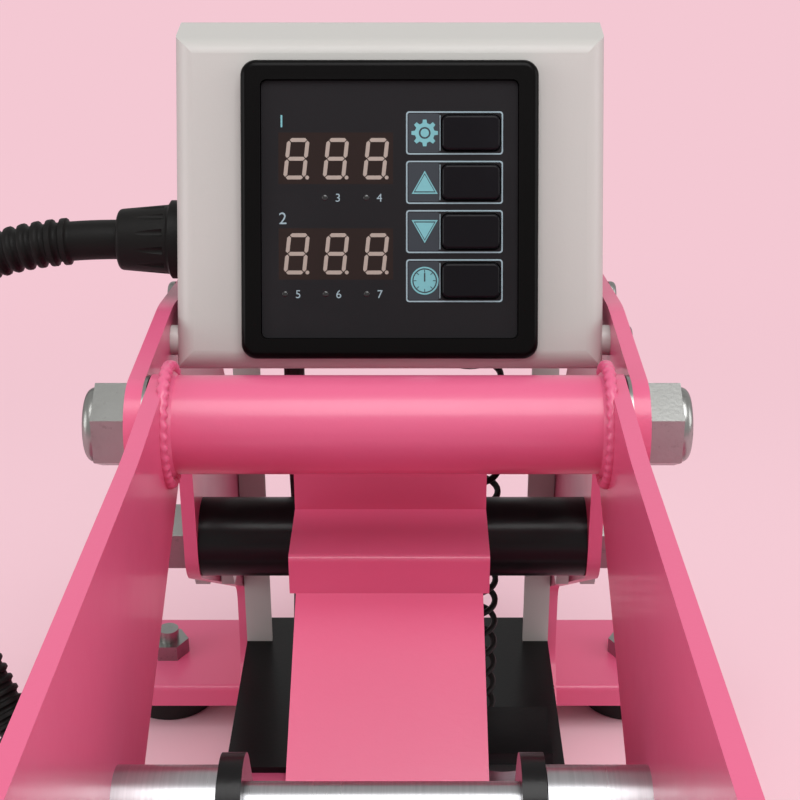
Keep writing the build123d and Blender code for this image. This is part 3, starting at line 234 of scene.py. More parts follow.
# %% [markdown]
# ## Backdrop
# Near the machine the floor is a matt surface that keeps the machine's shadow. Further out it
# turns, for the camera's own rays, into one even colour, so that the lamps' fall-off doesn't
# darken the top of the picture. The world shows that colour too, and lights with a soft white.

# %% Studio floor
BACKDROP = rgb(244, 200, 211)
FLOOR_NEAR, FLOOR_FAR = 0.42, 1.0   # distances from the machine between which the floor turns
studio_floor = Finish("Studio_floor")
mottle = studio_floor.noise(1.4, 2)
lit = studio_floor.add("BsdfPrincipled", None, {
    "Base Color": studio_floor.blend(mottle * 0.2, rgb(248, 206, 217), rgb(244, 200, 212)),
    "Roughness": 0.85})
sweep = studio_floor.add("Emission", None, {"Color": BACKDROP, "Strength": 1.0})
spot_on_floor = studio_floor.add("VectorMath", {"operation": "ADD"},
                                 {0: studio_floor.spot, 1: FLOOR_MIDDLE})["Vector"]
reach = studio_floor.add("VectorMath", {"operation": "LENGTH"}, {0: spot_on_floor})["Value"]
away = studio_floor.band(reach, FLOOR_NEAR, FLOOR_FAR)
shown_share = away * studio_floor.add("LightPath")["Is Camera Ray"]
floor_mix = studio_floor.add("MixShader", None, {0: shown_share, 1: lit["BSDF"], 2: sweep["Emission"]})
studio_floor.add("OutputMaterial", None, {"Surface": floor_mix["Shader"]})
floor.data.materials.append(studio_floor.data)
print("floor is matt to", FLOOR_NEAR, "m and even from", FLOOR_FAR, "m")

# %% [markdown]
# ### World
# Rays from the camera, and rays that pass through clear surfaces, see the backdrop's colour.
# Every other ray sees a nearly white fill that lights the machine evenly from all round.

# %% World
surround = Finish("Surround", world=True)
path = surround.add("LightPath")
seen = surround.add("Math", {"operation": "MAXIMUM"}, {0: path["Is Camera Ray"],
                                                       1: path["Is Transmission Ray"]})[0]
fill = surround.add("Background", None, {"Color": (1, 0.985, 0.98, 1), "Strength": 0.55})
shown = surround.add("Background", None, {"Color": BACKDROP, "Strength": 1.0})
mixed = surround.add("MixShader", None, {0: seen, 1: fill["Background"], 2: shown["Background"]})
surround.add("OutputWorld", None, {"Surface": mixed["Shader"]})
bpy.context.scene.world = surround.data
print("world:", surround.data.name)

# %% [markdown]
# ## Paint
# The plates, tubes and folded base carry a gloss powder coat. Powder melts into a skin with a
# faint orange peel, slightly fuller colour in some places than others, and a hard clear gloss.
# The orange peel is a fine bump, and two slow noises move the colour and the gloss a little.

# %% Painted steel
def powder_coat(name, colour, deep, rough, peel, coat, gloss=0.5):
    """Baked powder paint: slow colour drift, orange-peel relief and a clear gloss."""
    f = Finish(name)
    drift = f.noise(9.0, 4)
    specks = f.band(f.noise(1400, 1), 0.66, 0.78)
    peel_pattern = f.noise(420, 2) * 0.7 + f.noise(1500, 2) * 0.3
    tone = f.blend(drift * 0.35 + specks * 0.12, colour, deep)
    handled = f.band(f.noise(26, 5), 0.45, 0.75)
    return f.surface(Base_Color=tone, Roughness=rough + drift * 0.08 + handled * 0.07,
                     Coat_Weight=coat, Coat_Roughness=0.12, Specular_IOR_Level=gloss,
                     Normal=f.relief(peel_pattern, peel))


pink_paint = powder_coat("Pink_powder_coat", rgb(222, 98, 137), rgb(206, 80, 120), 0.30, 0.00005, 0.24)
grey_paint = powder_coat("Warm_grey_paint", rgb(190, 188, 184), rgb(182, 180, 176), 0.38, 0.00004, 0.10)
black_paint = powder_coat("Satin_black_paint", rgb(13, 13, 14), rgb(20, 19, 20), 0.24, 0.00005, 0.06, 0.2)
print("paints:", pink_paint.name, grey_paint.name, black_paint.name)

# %% [markdown]
# ## Bare metals
# Zinc plate is bright with a cloudy, slightly yellow bloom. Ground shafts carry fine rings from
# the grinding wheel, drawn here as noise pressed flat across the shaft. The platens are milled
# aluminium, with the fine parallel path of a fly cutter.

# %% Metals
def plated(name):
    """Zinc plate with a cloudy bloom and small handling marks."""
    f = Finish(name)
    cloud = f.noise(55, 5)
    marks = f.band(f.noise(330, 3), 0.6, 0.72)
    tone = f.blend(cloud, rgb(176, 177, 175), rgb(138, 138, 134))
    return f.surface(Base_Color=f.blend(marks * 0.4, tone, rgb(118, 116, 112)), Metallic=1.0,
                     Roughness=0.22 + cloud * 0.16 + marks * 0.1,
                     Normal=f.relief(f.noise(900, 2), 0.00003))


def ground(name, grain):
    """Ground steel; grain scales the coordinates so that the marks run round the shaft."""
    f = Finish(name)
    rings = f.noise(1.0, 4, f.stretched(grain))
    wipe = f.noise(30, 3)
    tone = f.blend(rings, rgb(196, 196, 198), rgb(160, 161, 164))
    return f.surface(Base_Color=tone, Metallic=1.0, Roughness=0.2 + rings * 0.14 + wipe * 0.06,
                     Normal=f.relief(rings, 0.00002))


def milled(name):
    """Milled aluminium: fine parallel cutter lines under a soft oxide haze."""
    f = Finish(name)
    lines = f.noise(1.0, 2, f.stretched((1500, 20, 20)))
    haze = f.noise(14, 4)
    tone = f.blend(haze, rgb(190, 191, 193), rgb(172, 173, 176))
    return f.surface(Base_Color=f.blend(lines * 0.25, tone, rgb(146, 147, 151)), Metallic=1.0,
                     Roughness=0.34 + lines * 0.12 + haze * 0.08, Normal=f.relief(lines, 0.00002))


zinc = plated("Zinc_plate")
cross_ground = ground("Ground_steel_crosswise", (1600, 25, 25))
upright_ground = ground("Ground_steel_upright", (25, 25, 1600))
aluminium = milled("Milled_aluminium")
print("metals:", zinc.name, cross_ground.name, upright_ground.name, aluminium.name)

# %% [markdown]
# ## Rubber, foam and plastics
# Moulded plastic has a fine spark-eroded grain, rubber is duller with a bloom, and the grip is
# closed-cell foam with open pores on its skin. The controller's bezel is a smoother gloss
# moulding round a matt printed film, and its windows are smoked plastic.

# %% Rubber, foam and plastics
def moulded(name, colour, worn, rough, grain, depth, coat=0.0, gloss=0.3):
    """Moulded plastic or rubber: a fine grain, a slow bloom and paler rubbed places."""
    f = Finish(name)
    pattern = f.noise(grain, 3)
    bloom = f.noise(22, 4)
    rubbed = f.band(bloom, 0.52, 0.78)
    return f.surface(Base_Color=f.blend(rubbed * 0.6 + pattern * 0.15, colour, worn),
                     Roughness=rough + pattern * 0.08 + bloom * 0.08, Coat_Weight=coat,
                     Coat_Roughness=0.08, Specular_IOR_Level=gloss,
                     Normal=f.relief(pattern, depth))


def foamed(name):
    """Closed-cell foam: small round pores on a dull skin."""
    f = Finish(name)
    cells = f.add("TexVoronoi", {"feature": "F1"}, {"Vector": f.spot, "Scale": 700.0})["Distance"]
    pores = f.band(cells, 0.25, 0.6)
    wear = f.noise(35, 4)
    return f.surface(Base_Color=f.blend(pores * 0.5 + wear * 0.3, rgb(30, 30, 31), rgb(52, 51, 51)),
                     Roughness=0.78 + pores * 0.15, Normal=f.relief(pores, 0.00022))


black_rubber = moulded("Black_rubber", rgb(24, 23, 23), rgb(44, 42, 41), 0.68, 700, 0.00006)
silicone = moulded("Silicone_rubber", rgb(196, 92, 52), rgb(206, 108, 68), 0.52, 900, 0.00005)
foam = foamed("Grip_foam")
black_plastic = moulded("Black_plastic", rgb(16, 15, 14), rgb(25, 24, 23), 0.42, 1300, 0.00005, 0.0, 0.16)
gloss_plastic = moulded("Bezel_plastic", rgb(8, 7, 7), rgb(11, 10, 10), 0.22, 900, 0.00002, 0.03, 0.07)
key_plastic = moulded("Key_plastic", rgb(16, 14, 18), rgb(22, 20, 24), 0.14, 600, 0.00001, 0.05, 0.10)
panel_film = moulded("Panel_film", rgb(34, 33, 35), rgb(39, 38, 40), 0.42, 1700, 0.00002, 0.0, 0.06)
smoked = moulded("Smoked_window", rgb(43, 34, 32), rgb(50, 40, 37), 0.14, 500, 0.00001, 0.04, 0.08)
print("mouldings:", black_rubber.name, silicone.name, foam.name, black_plastic.name)

# %% [markdown]
# ## Dressing the measured parts
# Each part of the frame keeps its shape and gets its finish through its material slots. The
# list names every part once, so that none stays bare.

# %% Dress the measured parts
FINISHES = {
    pink_paint: "upright_left upright_right base_rail_left base_rail_right rear_cross_plate "
                "front_cross_plate handle_plate_left handle_plate_right handle_cross_tube arm "
                "arm_step_bracket platen_cover",
    grey_paint: "control_housing housing_legs",
    # The rear deck's black is painted shade: a dark sheet over the base between the posts, where the base
    # lies in shadow.
    black_paint: "rear_deck arm_pivot_sleeve magnet_stand spring_base_bracket spring_arm_bracket "
                 "armature_bracket toggle_links gas_spring_body",
    zinc: "foot_nuts housing_screws pivot_nuts pivot_washers stop_bolts screw_nut electromagnet",
    cross_ground: "handle_pivot_shaft arm_pivot_shaft crank_shaft link_pin grip_bar",
    upright_ground: "pressure_screw gas_spring_rod armature",
    aluminium: "lower_platen heat_platen platen_hub platen_spacers",
    black_rubber: "rubber_feet",
    silicone: "silicone_pad",
    foam: "hand_grip",
    black_plastic: "cable_gland conduit power_inlet switch_frame pressure_knob curly_cord "
                   "cable_loom platen_gland",
    gloss_plastic: "controller_bezel power_switch",
    key_plastic: "key_1 key_2 key_3 key_4",
    panel_film: "display_panel",
    smoked: "display_windows",
}
dressed = 0
for finish, names in FINISHES.items():
    for name in names.split():
        part = nodes[name]
        if not part.material_slots:
            part.data.materials.append(finish)
        for slot in part.material_slots:
            slot.material = finish
        dressed += 1
print("dressed", dressed, "of", len(nodes), "parts")

# %% [markdown]
# ## Helpers for new pieces
# A new piece starts from a primitive at its real size and place. It is shaped in edit mode, its
# transform is applied, and it then rides on the body that carries it. Edges and faces are picked
# in code by where they lie or which way they face.

# %% Settling a piece
def settle(obj, name, finish, body, smooth=None):
    """Applies place and modifiers, names and paints a piece, and lets it ride on its body."""
    select_only(obj)
    for modifier in list(obj.modifiers):
        bpy.ops.object.modifier_apply(modifier=modifier.name)
    bpy.ops.object.transform_apply(location=True, rotation=True, scale=True)
    obj.name = obj.data.name = name
    obj.data.materials.clear()
    obj.data.materials.append(finish)
    if smooth is not None:
        bpy.ops.object.shade_smooth_by_angle(angle=radians(smooth))
    if body:
        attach(obj, body)
    return obj


print("settle is ready")

# %% [markdown]
# ### Helpers for shaping
# These add a primitive, select its faces or edges by a test, make a mesh from points and join
# several pieces. The two that select leave the piece in edit mode, for the operator that follows.

# %% Helpers for shaping
def fresh(add, **settings):
    """Adds one primitive with nothing else selected, and applies its place."""
    bpy.ops.object.select_all(action="DESELECT")
    add(**settings)
    bpy.ops.object.transform_apply(location=True, rotation=True, scale=True)
    return bpy.context.object


def unpick(obj, kind="FACE"):
    """Leaves nothing of a piece selected, and sets what the next selection is made of."""
    select_only(obj)
    bpy.ops.object.mode_set(mode="EDIT")
    bpy.ops.mesh.select_mode(type=kind)
    bpy.ops.mesh.select_all(action="DESELECT")
    bpy.ops.object.mode_set(mode="OBJECT")


def pick_all(obj):
    """Opens a piece in edit mode with all of it selected."""
    unpick(obj)
    bpy.ops.object.mode_set(mode="EDIT")
    bpy.ops.mesh.select_all(action="SELECT")


def pick(obj, test, kind="FACE"):
    """Opens a piece in edit mode with the faces or edges selected that pass a test.

    The test gets a face's middle and normal, or an edge's middle and run."""
    unpick(obj, kind)
    if kind == "FACE":
        for face in obj.data.polygons:
            face.select = bool(test(face.center, face.normal))
    else:
        for edge in obj.data.edges:
            ends = [obj.data.vertices[i].co for i in edge.vertices]
            edge.select = bool(test((ends[0] + ends[1]) / 2, ends[1] - ends[0]))
    bpy.ops.object.mode_set(mode="EDIT")


def mesh_piece(name, points, faces, edges=()):
    """A mesh object from points, faces and loose edges, linked to the scene."""
    mesh = bpy.data.meshes.new(name)
    mesh.from_pydata([tuple(p) for p in points], list(edges), faces)
    mesh.update()
    obj = bpy.data.objects.new(name, mesh)
    bpy.context.scene.collection.objects.link(obj)
    return obj


def joined(parts, name):
    """Joins several meshes into one object."""
    select_only(parts[0])
    for part in parts:
        part.select_set(True)
    bpy.ops.object.join()
    parts[0].name = name
    return parts[0]


print("shaping helpers ready")

# %% [markdown]
# ## Cords
# Three cords leave the control box: a ribbed hose to the heating platen, a curly cord and a
# loom down into the base. Each follows its route from the part's drawing as one smooth NURBS
# curve. Its order is set after its points are added, because set earlier it stays a chain of
# straight runs.

# %% Helpers for cords
def eased(share):
    """A share held between 0 and 1, with a soft start and end."""
    share = min(max(share, 0), 1)
    return share * share * (3 - 2 * share)


def route_curve(name, route_mm):
    """An open NURBS curve with the route's points, in millimetres, as its control points."""
    data = bpy.data.curves.new(name, "CURVE")
    data.dimensions, data.resolution_u = "3D", 24
    spline = data.splines.new("NURBS")
    spline.points.add(len(route_mm) - 1)
    for point, place in zip(spline.points, route_mm):
        point.co = (*[v / 1000 for v in place], 1)
    spline.use_endpoint_u = True
    spline.order_u = 3
    curve = bpy.data.objects.new(name, data)
    bpy.context.scene.collection.objects.link(curve)
    return curve


def centreline(curve, spacing):
    """Points read from the curve with no bevel, evenly spaced along it."""
    mesh = bpy.data.meshes.new_from_object(curve)
    line = [v.co.copy() for v in mesh.vertices]
    bpy.data.meshes.remove(mesh)
    run = [0.0]
    for a, b in zip(line, line[1:]):
        run.append(run[-1] + (b - a).length)
    count = max(2, round(run[-1] / spacing))
    places, i = [], 0
    for k in range(count + 1):
        want = run[-1] * k / count
        while i < len(run) - 2 and run[i + 1] < want:
            i += 1
        share = (want - run[i]) / max(run[i + 1] - run[i], 1e-9)
        places.append(line[i].lerp(line[i + 1], min(max(share, 0), 1)))
    return places, run[-1]


def tube_along(name, places, radii, sides):
    """A closed tube round a line of points; each point has its own radius."""
    points, faces = [], []
    across = Vector((1, 1, 0))
    for i, place in enumerate(places):
        course = (places[min(i + 1, len(places) - 1)] - places[max(i - 1, 0)]).normalized()
        across = (across - course * across.dot(course)).normalized()
        up = course.cross(across)
        for k in range(sides):
            a = 2 * pi * k / sides
            points.append(place + (across * cos(a) + up * sin(a)) * radii[i])
    for i in range(len(places) - 1):
        for k in range(sides):
            a, b = i * sides + k, i * sides + (k + 1) % sides
            faces.append((a, b, b + sides, a + sides))
    faces.append(tuple(reversed(range(sides))))
    faces.append(tuple(range(len(points) - sides, len(points))))
    return mesh_piece(name, points, faces)


print("cord helpers ready")

# %% [markdown]
# ### Ribbed hose
# The heater's leads run in a corrugated hose from the gland on the box to the one on the platen.
# It is a mesh tube whose radius rises and falls 66 times. It bends between the frame and the arm
# when the press opens.

# %% Ribbed hose
HOSE_ROUTE = [(-92, 138, 307), (-138, 138, 307), (-172, 141, 272), (-180, 147, 219),
              (-178, 156, 168), (-166, 158, 122), (-140, 133, 85), (-140, 85, 85)]
RIBS, HOSE_R, VALLEY_R, PLAIN_END = 66, 0.008, 0.0067, 0.016
FLANK, VALLEY_SHARE = 6, 0.9        # how steeply a rib rises, and how much of it stays low
HOSE_SPACING = 0.00058
hose_curve = route_curve("hose_route", HOSE_ROUTE)
hose_line, hose_length = centreline(hose_curve, HOSE_SPACING)
rib_step = (hose_length - 2 * PLAIN_END) / RIBS


def rib_radius(s):
    """Radius at a distance along the hose: flat crests, narrow valleys, plain ends."""
    if not PLAIN_END < s < hose_length - PLAIN_END:
        return VALLEY_R
    phase = ((s - PLAIN_END) / rib_step) % 1
    rise = eased((0.5 - abs(phase - 0.5)) * FLANK - VALLEY_SHARE)
    return VALLEY_R + (HOSE_R - VALLEY_R) * rise


step = hose_length / (len(hose_line) - 1)
hose_radii = [rib_radius(i * step) for i in range(len(hose_line))]
hose = tube_along("ribbed_hose", hose_line, hose_radii, 20)
bpy.data.objects.remove(hose_curve)
settle(hose, "ribbed_hose", black_plastic, None, 60)
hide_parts("conduit")
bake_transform(hose)
hose_line[::8] + [hose_line[-1]]
print("hose:", round(hose_length * 1000, 1), "mm,", RIBS, "ribs,", len(hose.data.vertices), "points")

# %% [markdown]
# ### Curly cord
# A thin lead wound into a spring shape stretches between the box and the deck. The helix is
# laid round a straight route, read from its NURBS curve, and closes to a straight tail at each
# end.

# %% Curly cord
CURLY_ROUTE = [(33, 190, 61), (33, 190, 105), (33, 190, 167), (33, 190, 229), (33, 190, 272.5)]
CURLS, CURL_R, LEAD_R, TAIL = 19, 0.0087, 0.0013, 0.008
OPENING = 0.006                     # the rise over which a tail widens to a full curl
CURLY_SPACING = 0.00035
curly_curve = route_curve("curly_route", CURLY_ROUTE)
axis_line, axis_length = centreline(curly_curve, CURLY_SPACING)
bpy.data.objects.remove(curly_curve)
helix = []
for i, place in enumerate(axis_line):
    s = axis_length * i / (len(axis_line) - 1)
    inside = min(s - TAIL, axis_length - TAIL - s)
    reach = CURL_R * eased(inside / OPENING + 0.5)
    turn = 2 * pi * CURLS * min(max((s - TAIL) / (axis_length - 2 * TAIL), 0), 1)
    helix.append(place + Vector((reach * cos(turn), reach * sin(turn), 0)))
lead_length = sum((b - a).length for a, b in zip(helix, helix[1:]))
curly = tube_along("curly_lead", helix, [LEAD_R] * len(helix), 8)
settle(curly, "curly_lead", black_plastic, "frame", 60)
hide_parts("curly_cord")
print("curly lead:", round(lead_length * 1000), "mm in", CURLS, "curls")

# %% [markdown]
# ### Cable loom
# The wires to the base run in a braided sleeve. The sleeve's weave is a fine crossed pattern in
# its finish, and the sleeve itself is a plain mesh tube round its route.

# %% Cable loom
LOOM_ROUTE = [(-39, 192, 272.5), (-39, 192, 213), (-37.5, 194, 155), (-39.5, 193, 104),
              (-39.5, 193, 61)]
LOOM_R, LOOM_SPACING = 0.004, 0.002
STRANDS, LAY = 8.0, 900.0           # strands each way round, and how fast they climb


def braided(name):
    """A braided sleeve: two families of slanting strands, matt, with paler rubbed crowns."""
    f = Finish(name)
    place = f.add("SeparateXYZ", None, {"Vector": f.spot})
    around = f.add("Math", {"operation": "ARCTAN2"},
                   {0: place["Y"] - 0.193, 1: place["X"] + 0.039})[0]
    lean = place["Z"] * LAY
    one = f.add("Math", {"operation": "SINE"}, {0: around * STRANDS + lean})[0]
    two = f.add("Math", {"operation": "SINE"}, {0: around * STRANDS - lean})[0]
    weave = one * two * 0.5 + 0.5
    dust = f.noise(60, 3)
    return f.surface(Base_Color=f.blend(weave * 0.6 + dust * 0.2, rgb(20, 20, 21), rgb(58, 57, 56)),
                     Roughness=0.6 + dust * 0.15, Normal=f.relief(weave, 0.0003))


loom_sleeve = braided("Braided_sleeve")
loom_curve = route_curve("loom_route", LOOM_ROUTE)
loom_line, loom_length = centreline(loom_curve, LOOM_SPACING)
bpy.data.objects.remove(loom_curve)
loom = tube_along("cable_loom_sleeve", loom_line, [LOOM_R] * len(loom_line), 20)
settle(loom, "cable_loom_sleeve", loom_sleeve, "frame", 60)
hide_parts("cable_loom")
print("loom:", round(loom_length * 1000, 1), "mm")

# %% [markdown]
# ### Grommets
# The curly cord and the loom pass the sheet metal through rubber grommets, so that its edges
# can't cut them. A grommet is a torus whose upper and lower faces are drawn apart a little.

# %% Grommets
RING_GAP, RING_R = 0.0016, 0.0017
GROMMETS = {"grommet_curly_top": (33, 190, 271.2, 1.3), "grommet_curly_foot": (33, 190, 62.3, 1.3),
            "grommet_loom_top": (-39, 192, 271.2, 4.0), "grommet_loom_foot": (-39.5, 193, 62.3, 4.0)}
for name, sizes in GROMMETS.items():
    x, y, z, hole_r = [size / 1000 for size in sizes]
    ring = fresh(bpy.ops.mesh.primitive_torus_add, location=(x, y, z), major_radius=hole_r + RING_GAP,
                 minor_radius=RING_R, major_segments=40, minor_segments=12)
    pick(ring, lambda c, n: abs(n.z) > 0.9)
    bpy.ops.transform.resize(value=(1.0, 1.0, 1.15))
    bpy.ops.object.mode_set(mode="OBJECT")
    settle(ring, name, black_rubber, "frame", 60)
print("grommets:", len(GROMMETS))

# %% [markdown]
# ## The controller's front
# The controller is a square plug-in unit. Its film has two smoked windows with three slanting
# seven-part digits each, small lamps, and four key cells with a pictogram. The print lies on a
# plane that leans back with the box, so a matrix carries flat shapes from a drawing in
# millimetres to that plane.

# %% The leaning plane
LEAN = atan2(41.5, 100.5)           # the front goes back 41.5 mm while it rises 100.5 mm
FACE_MIDDLE = Vector((0, 0.12075, 0.32275))
panel_out = Vector((0, -cos(LEAN), sin(LEAN)))
panel_up = Vector((0, sin(LEAN), cos(LEAN)))
PANEL_LIFT = 0.0044                 # from the box's face to the film


def on_panel(lift):
    """The matrix that stands a flat drawing, in millimetres, on the film at a small lift."""
    place = FACE_MIDDLE + panel_out * (PANEL_LIFT + lift)
    turn = Matrix((Vector((1, 0, 0)), panel_up, panel_out)).transposed().to_4x4()
    return Matrix.Translation(place) @ turn @ Matrix.Scale(0.001, 4)


def printed(name, data, finish, place):
    """Makes a flat curve or text a mesh, and only then puts it in its place."""
    shape = bpy.data.objects.new(name, data)
    bpy.context.scene.collection.objects.link(shape)
    select_only(shape)
    bpy.ops.object.convert(target="MESH")
    shape = bpy.context.object
    shape.data.transform(place)
    return settle(shape, name, finish, "frame")


def flat_print(name, loops, finish, lift=0.00002, thick=0.05):
    """A thin raised print from closed outlines in millimetres; inner outlines are holes."""
    data = bpy.data.curves.new(name, "CURVE")
    data.dimensions, data.fill_mode, data.extrude = "2D", "BOTH", thick / 2
    for loop in loops:
        spline = data.splines.new("POLY")
        spline.points.add(len(loop) - 1)
        for point, (x, y) in zip(spline.points, loop):
            point.co = (x, y, 0, 1)
        spline.use_cyclic_u = True
    return printed(name, data, finish, on_panel(lift))


print("film leans back by", round(LEAN * 180 / pi, 1), "degrees")

# %% [markdown]
# ### Print finishes
# The digits are unlit, so they show as pale warm grey plastic behind the smoked window. The
# key cells are printed in a pale blue-green, a little uneven, as screen ink is.

# %% Print finishes
def ink(name, colour, thin, rough=0.35, coat=0.3):
    """Screen ink: nearly even, thinner in places, under a clear film."""
    f = Finish(name)
    coverage = f.noise(900, 3)
    return f.surface(Base_Color=f.blend(coverage * 0.5, colour, thin),
                     Roughness=rough + coverage * 0.1, Coat_Weight=coat, Coat_Roughness=0.2,
                     Normal=f.relief(coverage, 0.00001))


digit_plastic = ink("Unlit_digit", rgb(168, 154, 144), rgb(150, 138, 130))
teal_ink = ink("Teal_ink", rgb(118, 182, 188), rgb(96, 160, 170))
pale_ink = ink("Pale_ink", rgb(150, 172, 180), rgb(128, 150, 160))
cell_ink = ink("Dark_blue_ink", rgb(32, 40, 50), rgb(28, 34, 44))
lamp_lens = ink("Dark_lamp_lens", rgb(14, 13, 14), rgb(22, 20, 22), 0.15, 0.6)
print("inks:", ", ".join(m.name for m in (digit_plastic, teal_ink, pale_ink, cell_ink, lamp_lens)))

# %% [markdown]
# ### Seven-part digits
# A digit is seven slim hexagons and a point, slanted to the right. One digit is drawn as
# outlines and repeated six times.

# %% Seven-part digits
DIGIT_W, DIGIT_H, BAR, GAP, SLANT = 6.0, 12.0, 1.25, 0.22, 0.11
POINT_R, POINT_GAP = 0.62, 1.1
DIGIT_ROWS, DIGIT_COLUMNS = (16.35, -14.15), (-30.0, -17.3, -4.4)


def bar_outline(x0, y0, x1, y1):
    """A bar with pointed ends between two corners of the figure eight."""
    run = Vector((x1 - x0, y1 - y0))
    u = run.normalized()
    n, h = Vector((-u.y, u.x)), BAR / 2
    a, b = Vector((x0, y0)) + u * GAP, Vector((x1, y1)) - u * GAP
    points = [a, a + u * h + n * h, b - u * h + n * h, b, b - u * h - n * h, a + u * h - n * h]
    return [(p.x + p.y * SLANT, p.y) for p in points]


def digit_outlines(cx, cy):
    """The seven bars and the point of one digit about a middle."""
    w, h = DIGIT_W / 2, DIGIT_H / 2
    ends = [(-w, h, w, h), (-w, 0, w, 0), (-w, -h, w, -h), (-w, 0, -w, h), (w, 0, w, h),
            (-w, -h, -w, 0), (w, -h, w, 0)]
    loops = [bar_outline(*e) for e in ends]
    loops.append([(w + POINT_GAP - h * SLANT + POINT_R * cos(a), -h + POINT_R * sin(a))
                  for a in [2 * pi * k / 20 for k in range(20)]])
    return [[(x + cx, y + cy) for x, y in loop] for loop in loops]


bars = []
for row_y in DIGIT_ROWS:
    for column_x in DIGIT_COLUMNS:
        bars += digit_outlines(column_x, row_y)
flat_print("display_digits", bars, digit_plastic, lift=0.00003)
print("digits:", len(bars), "bars and points")

# %% [markdown]
# ### Key cells
# Each key sits in an outlined cell, with a dark ground for a pictogram beside it. The frames are
# thin prints with holes, drawn by formula.

# %% Key cells
def rounded_box(x0, y0, x1, y1, r):
    """The outline of a box with rounded corners."""
    corners = ((x1 - r, y1 - r, 0), (x0 + r, y1 - r, 1), (x0 + r, y0 + r, 2), (x1 - r, y0 + r, 3))
    return [(cx + r * cos((q + k / 5) * pi / 2), cy + r * sin((q + k / 5) * pi / 2))
            for cx, cy, q in corners for k in range(6)]


KEY_ROWS = (24.6, 8.8, -7.0, -22.8)
CELL_LEFT, CELL_RIGHT, CELL_HALF, LINE = 5.3, 36.5, 6.9, 0.45
GROUND_LEFT, GROUND_RIGHT, GROUND_HALF = 6.0, 15.9, 6.2
DIVIDER_LEFT, DIVIDER_RIGHT, DIVIDER_HALF = 16.1, 16.35, 5.7
frames, grounds, dividers = [], [], []
for y in KEY_ROWS:
    inner = CELL_HALF - LINE
    frames.append(rounded_box(CELL_LEFT, y - CELL_HALF, CELL_RIGHT, y + CELL_HALF, 1.0))
    frames.append(rounded_box(CELL_LEFT + LINE, y - inner, CELL_RIGHT - LINE, y + inner, 0.7))
    grounds.append(rounded_box(GROUND_LEFT, y - GROUND_HALF, GROUND_RIGHT, y + GROUND_HALF, 0.5))
    dividers.append(rounded_box(DIVIDER_LEFT, y - DIVIDER_HALF, DIVIDER_RIGHT, y + DIVIDER_HALF, 0.1))
flat_print("key_cell_frames", frames, pale_ink)
flat_print("key_cell_grounds", grounds, cell_ink, lift=0.00001, thick=0.02)
flat_print("key_cell_dividers", dividers, pale_ink)
print("key cells:", len(KEY_ROWS))

# %% [markdown]
# ### Pictograms
# A gear stands for settings, an arrow each for up and down, and a clock for the timer. Each is a
# set of outlines inside one another, in which every second one is a hole.

# %% Pictograms
ICON_X = 11.3


def circle(cx, cy, r, count=40):
    """The outline of a circle."""
    turns = [2 * pi * k / count for k in range(count)]
    return [(cx + r * cos(a), cy + r * sin(a)) for a in turns]


def gear_outline(cx, cy, tip, root, teeth):
    """The outline of a gear with flat-topped teeth."""
    points = []
    for k in range(teeth):
        for share, r in ((-0.30, root), (-0.17, tip), (0.17, tip), (0.30, root)):
            a = 2 * pi * (k + share) / teeth
            points.append((cx + r * cos(a), cy + r * sin(a)))
    return points


def triangle(cx, cy, half, tall, way):
    """The outline of a triangle that points up for way 1 and down for way -1."""
    base, tip = cy - way * tall / 2, cy + way * tall / 2
    return [(cx - half, base), (cx + half, base), (cx, tip)]


gear_y, up_y, down_y, clock_y = KEY_ROWS
signs = [gear_outline(ICON_X, gear_y, 4.3, 3.2, 8)]
signs += [circle(ICON_X, gear_y, r) for r in (1.9, 1.35)]
for y, way in ((up_y, 1), (down_y, -1)):
    for drop, half, high in ((0, 4.2, 7.4), (0.15, 3.55, 6.2), (0.2, 3.1, 5.4)):
        signs.append(triangle(ICON_X, y - way * drop, half, high, way))
signs += [circle(ICON_X, clock_y, r) for r in (4.5, 4.0, 3.6)]
flat_print("key_pictograms", signs, teal_ink, lift=0.00006)
print("pictograms: gear, up, down, clock")

# %% [markdown]
# ### Clock hand and marks
# The clock's one hand points straight up, and eight short marks stand round its dial. They are
# printed in the dark ink of the ground, a little above the dial.

# %% Clock hand and marks
MARKS, MARK_R, MARK_LONG, MARK_WIDE = 8, 3.1, 0.45, 0.12
hands = [rounded_box(ICON_X - 0.22, clock_y - 0.3, ICON_X + 0.22, clock_y + 2.5, 0.1)]
mark = [(-MARK_LONG, -MARK_WIDE), (MARK_LONG, -MARK_WIDE), (MARK_LONG, MARK_WIDE), (-MARK_LONG, MARK_WIDE)]
for k in range(MARKS):
    a = 2 * pi / MARKS * k
    x, y = ICON_X + MARK_R * cos(a), clock_y + MARK_R * sin(a)
    hands.append([(x + cos(a) * u - sin(a) * v, y + sin(a) * u + cos(a) * v) for u, v in mark])
flat_print("clock_hand_and_marks", hands, cell_ink, lift=0.00012)
print("clock marks:", MARKS)

# %% [markdown]
# ### Lamps and numbers
# Five small lamps sit under the windows. The marks beside them are plain numbers. A lamp is a
# squashed sphere set in the film, and a number is text made a mesh before it is placed.

# %% Lamps and numbers
LAMPS = ((-20.9, 3.9), (-7.5, 3.9), (-33.8, -27.1), (-20.7, -27.1), (-7.4, -27.1))
LAMP_SHAPE = Matrix.Diagonal((0.95, 0.95, 0.25, 1))
for number, (x, y) in enumerate(LAMPS, 1):
    lamp = fresh(bpy.ops.mesh.primitive_uv_sphere_add, segments=24, ring_count=12, radius=1.0)
    pick(lamp, lambda c, n: c.z < -0.2)
    bpy.ops.mesh.delete(type="FACE")
    bpy.ops.object.mode_set(mode="OBJECT")
    lamp.data.transform(on_panel(0) @ Matrix.Translation((x, y, 0)) @ LAMP_SHAPE)
    settle(lamp, f"lamp_{number}", lamp_lens, "frame", 60)
FIGURE_SHARE = 0.70                 # a figure's height as a share of the text size


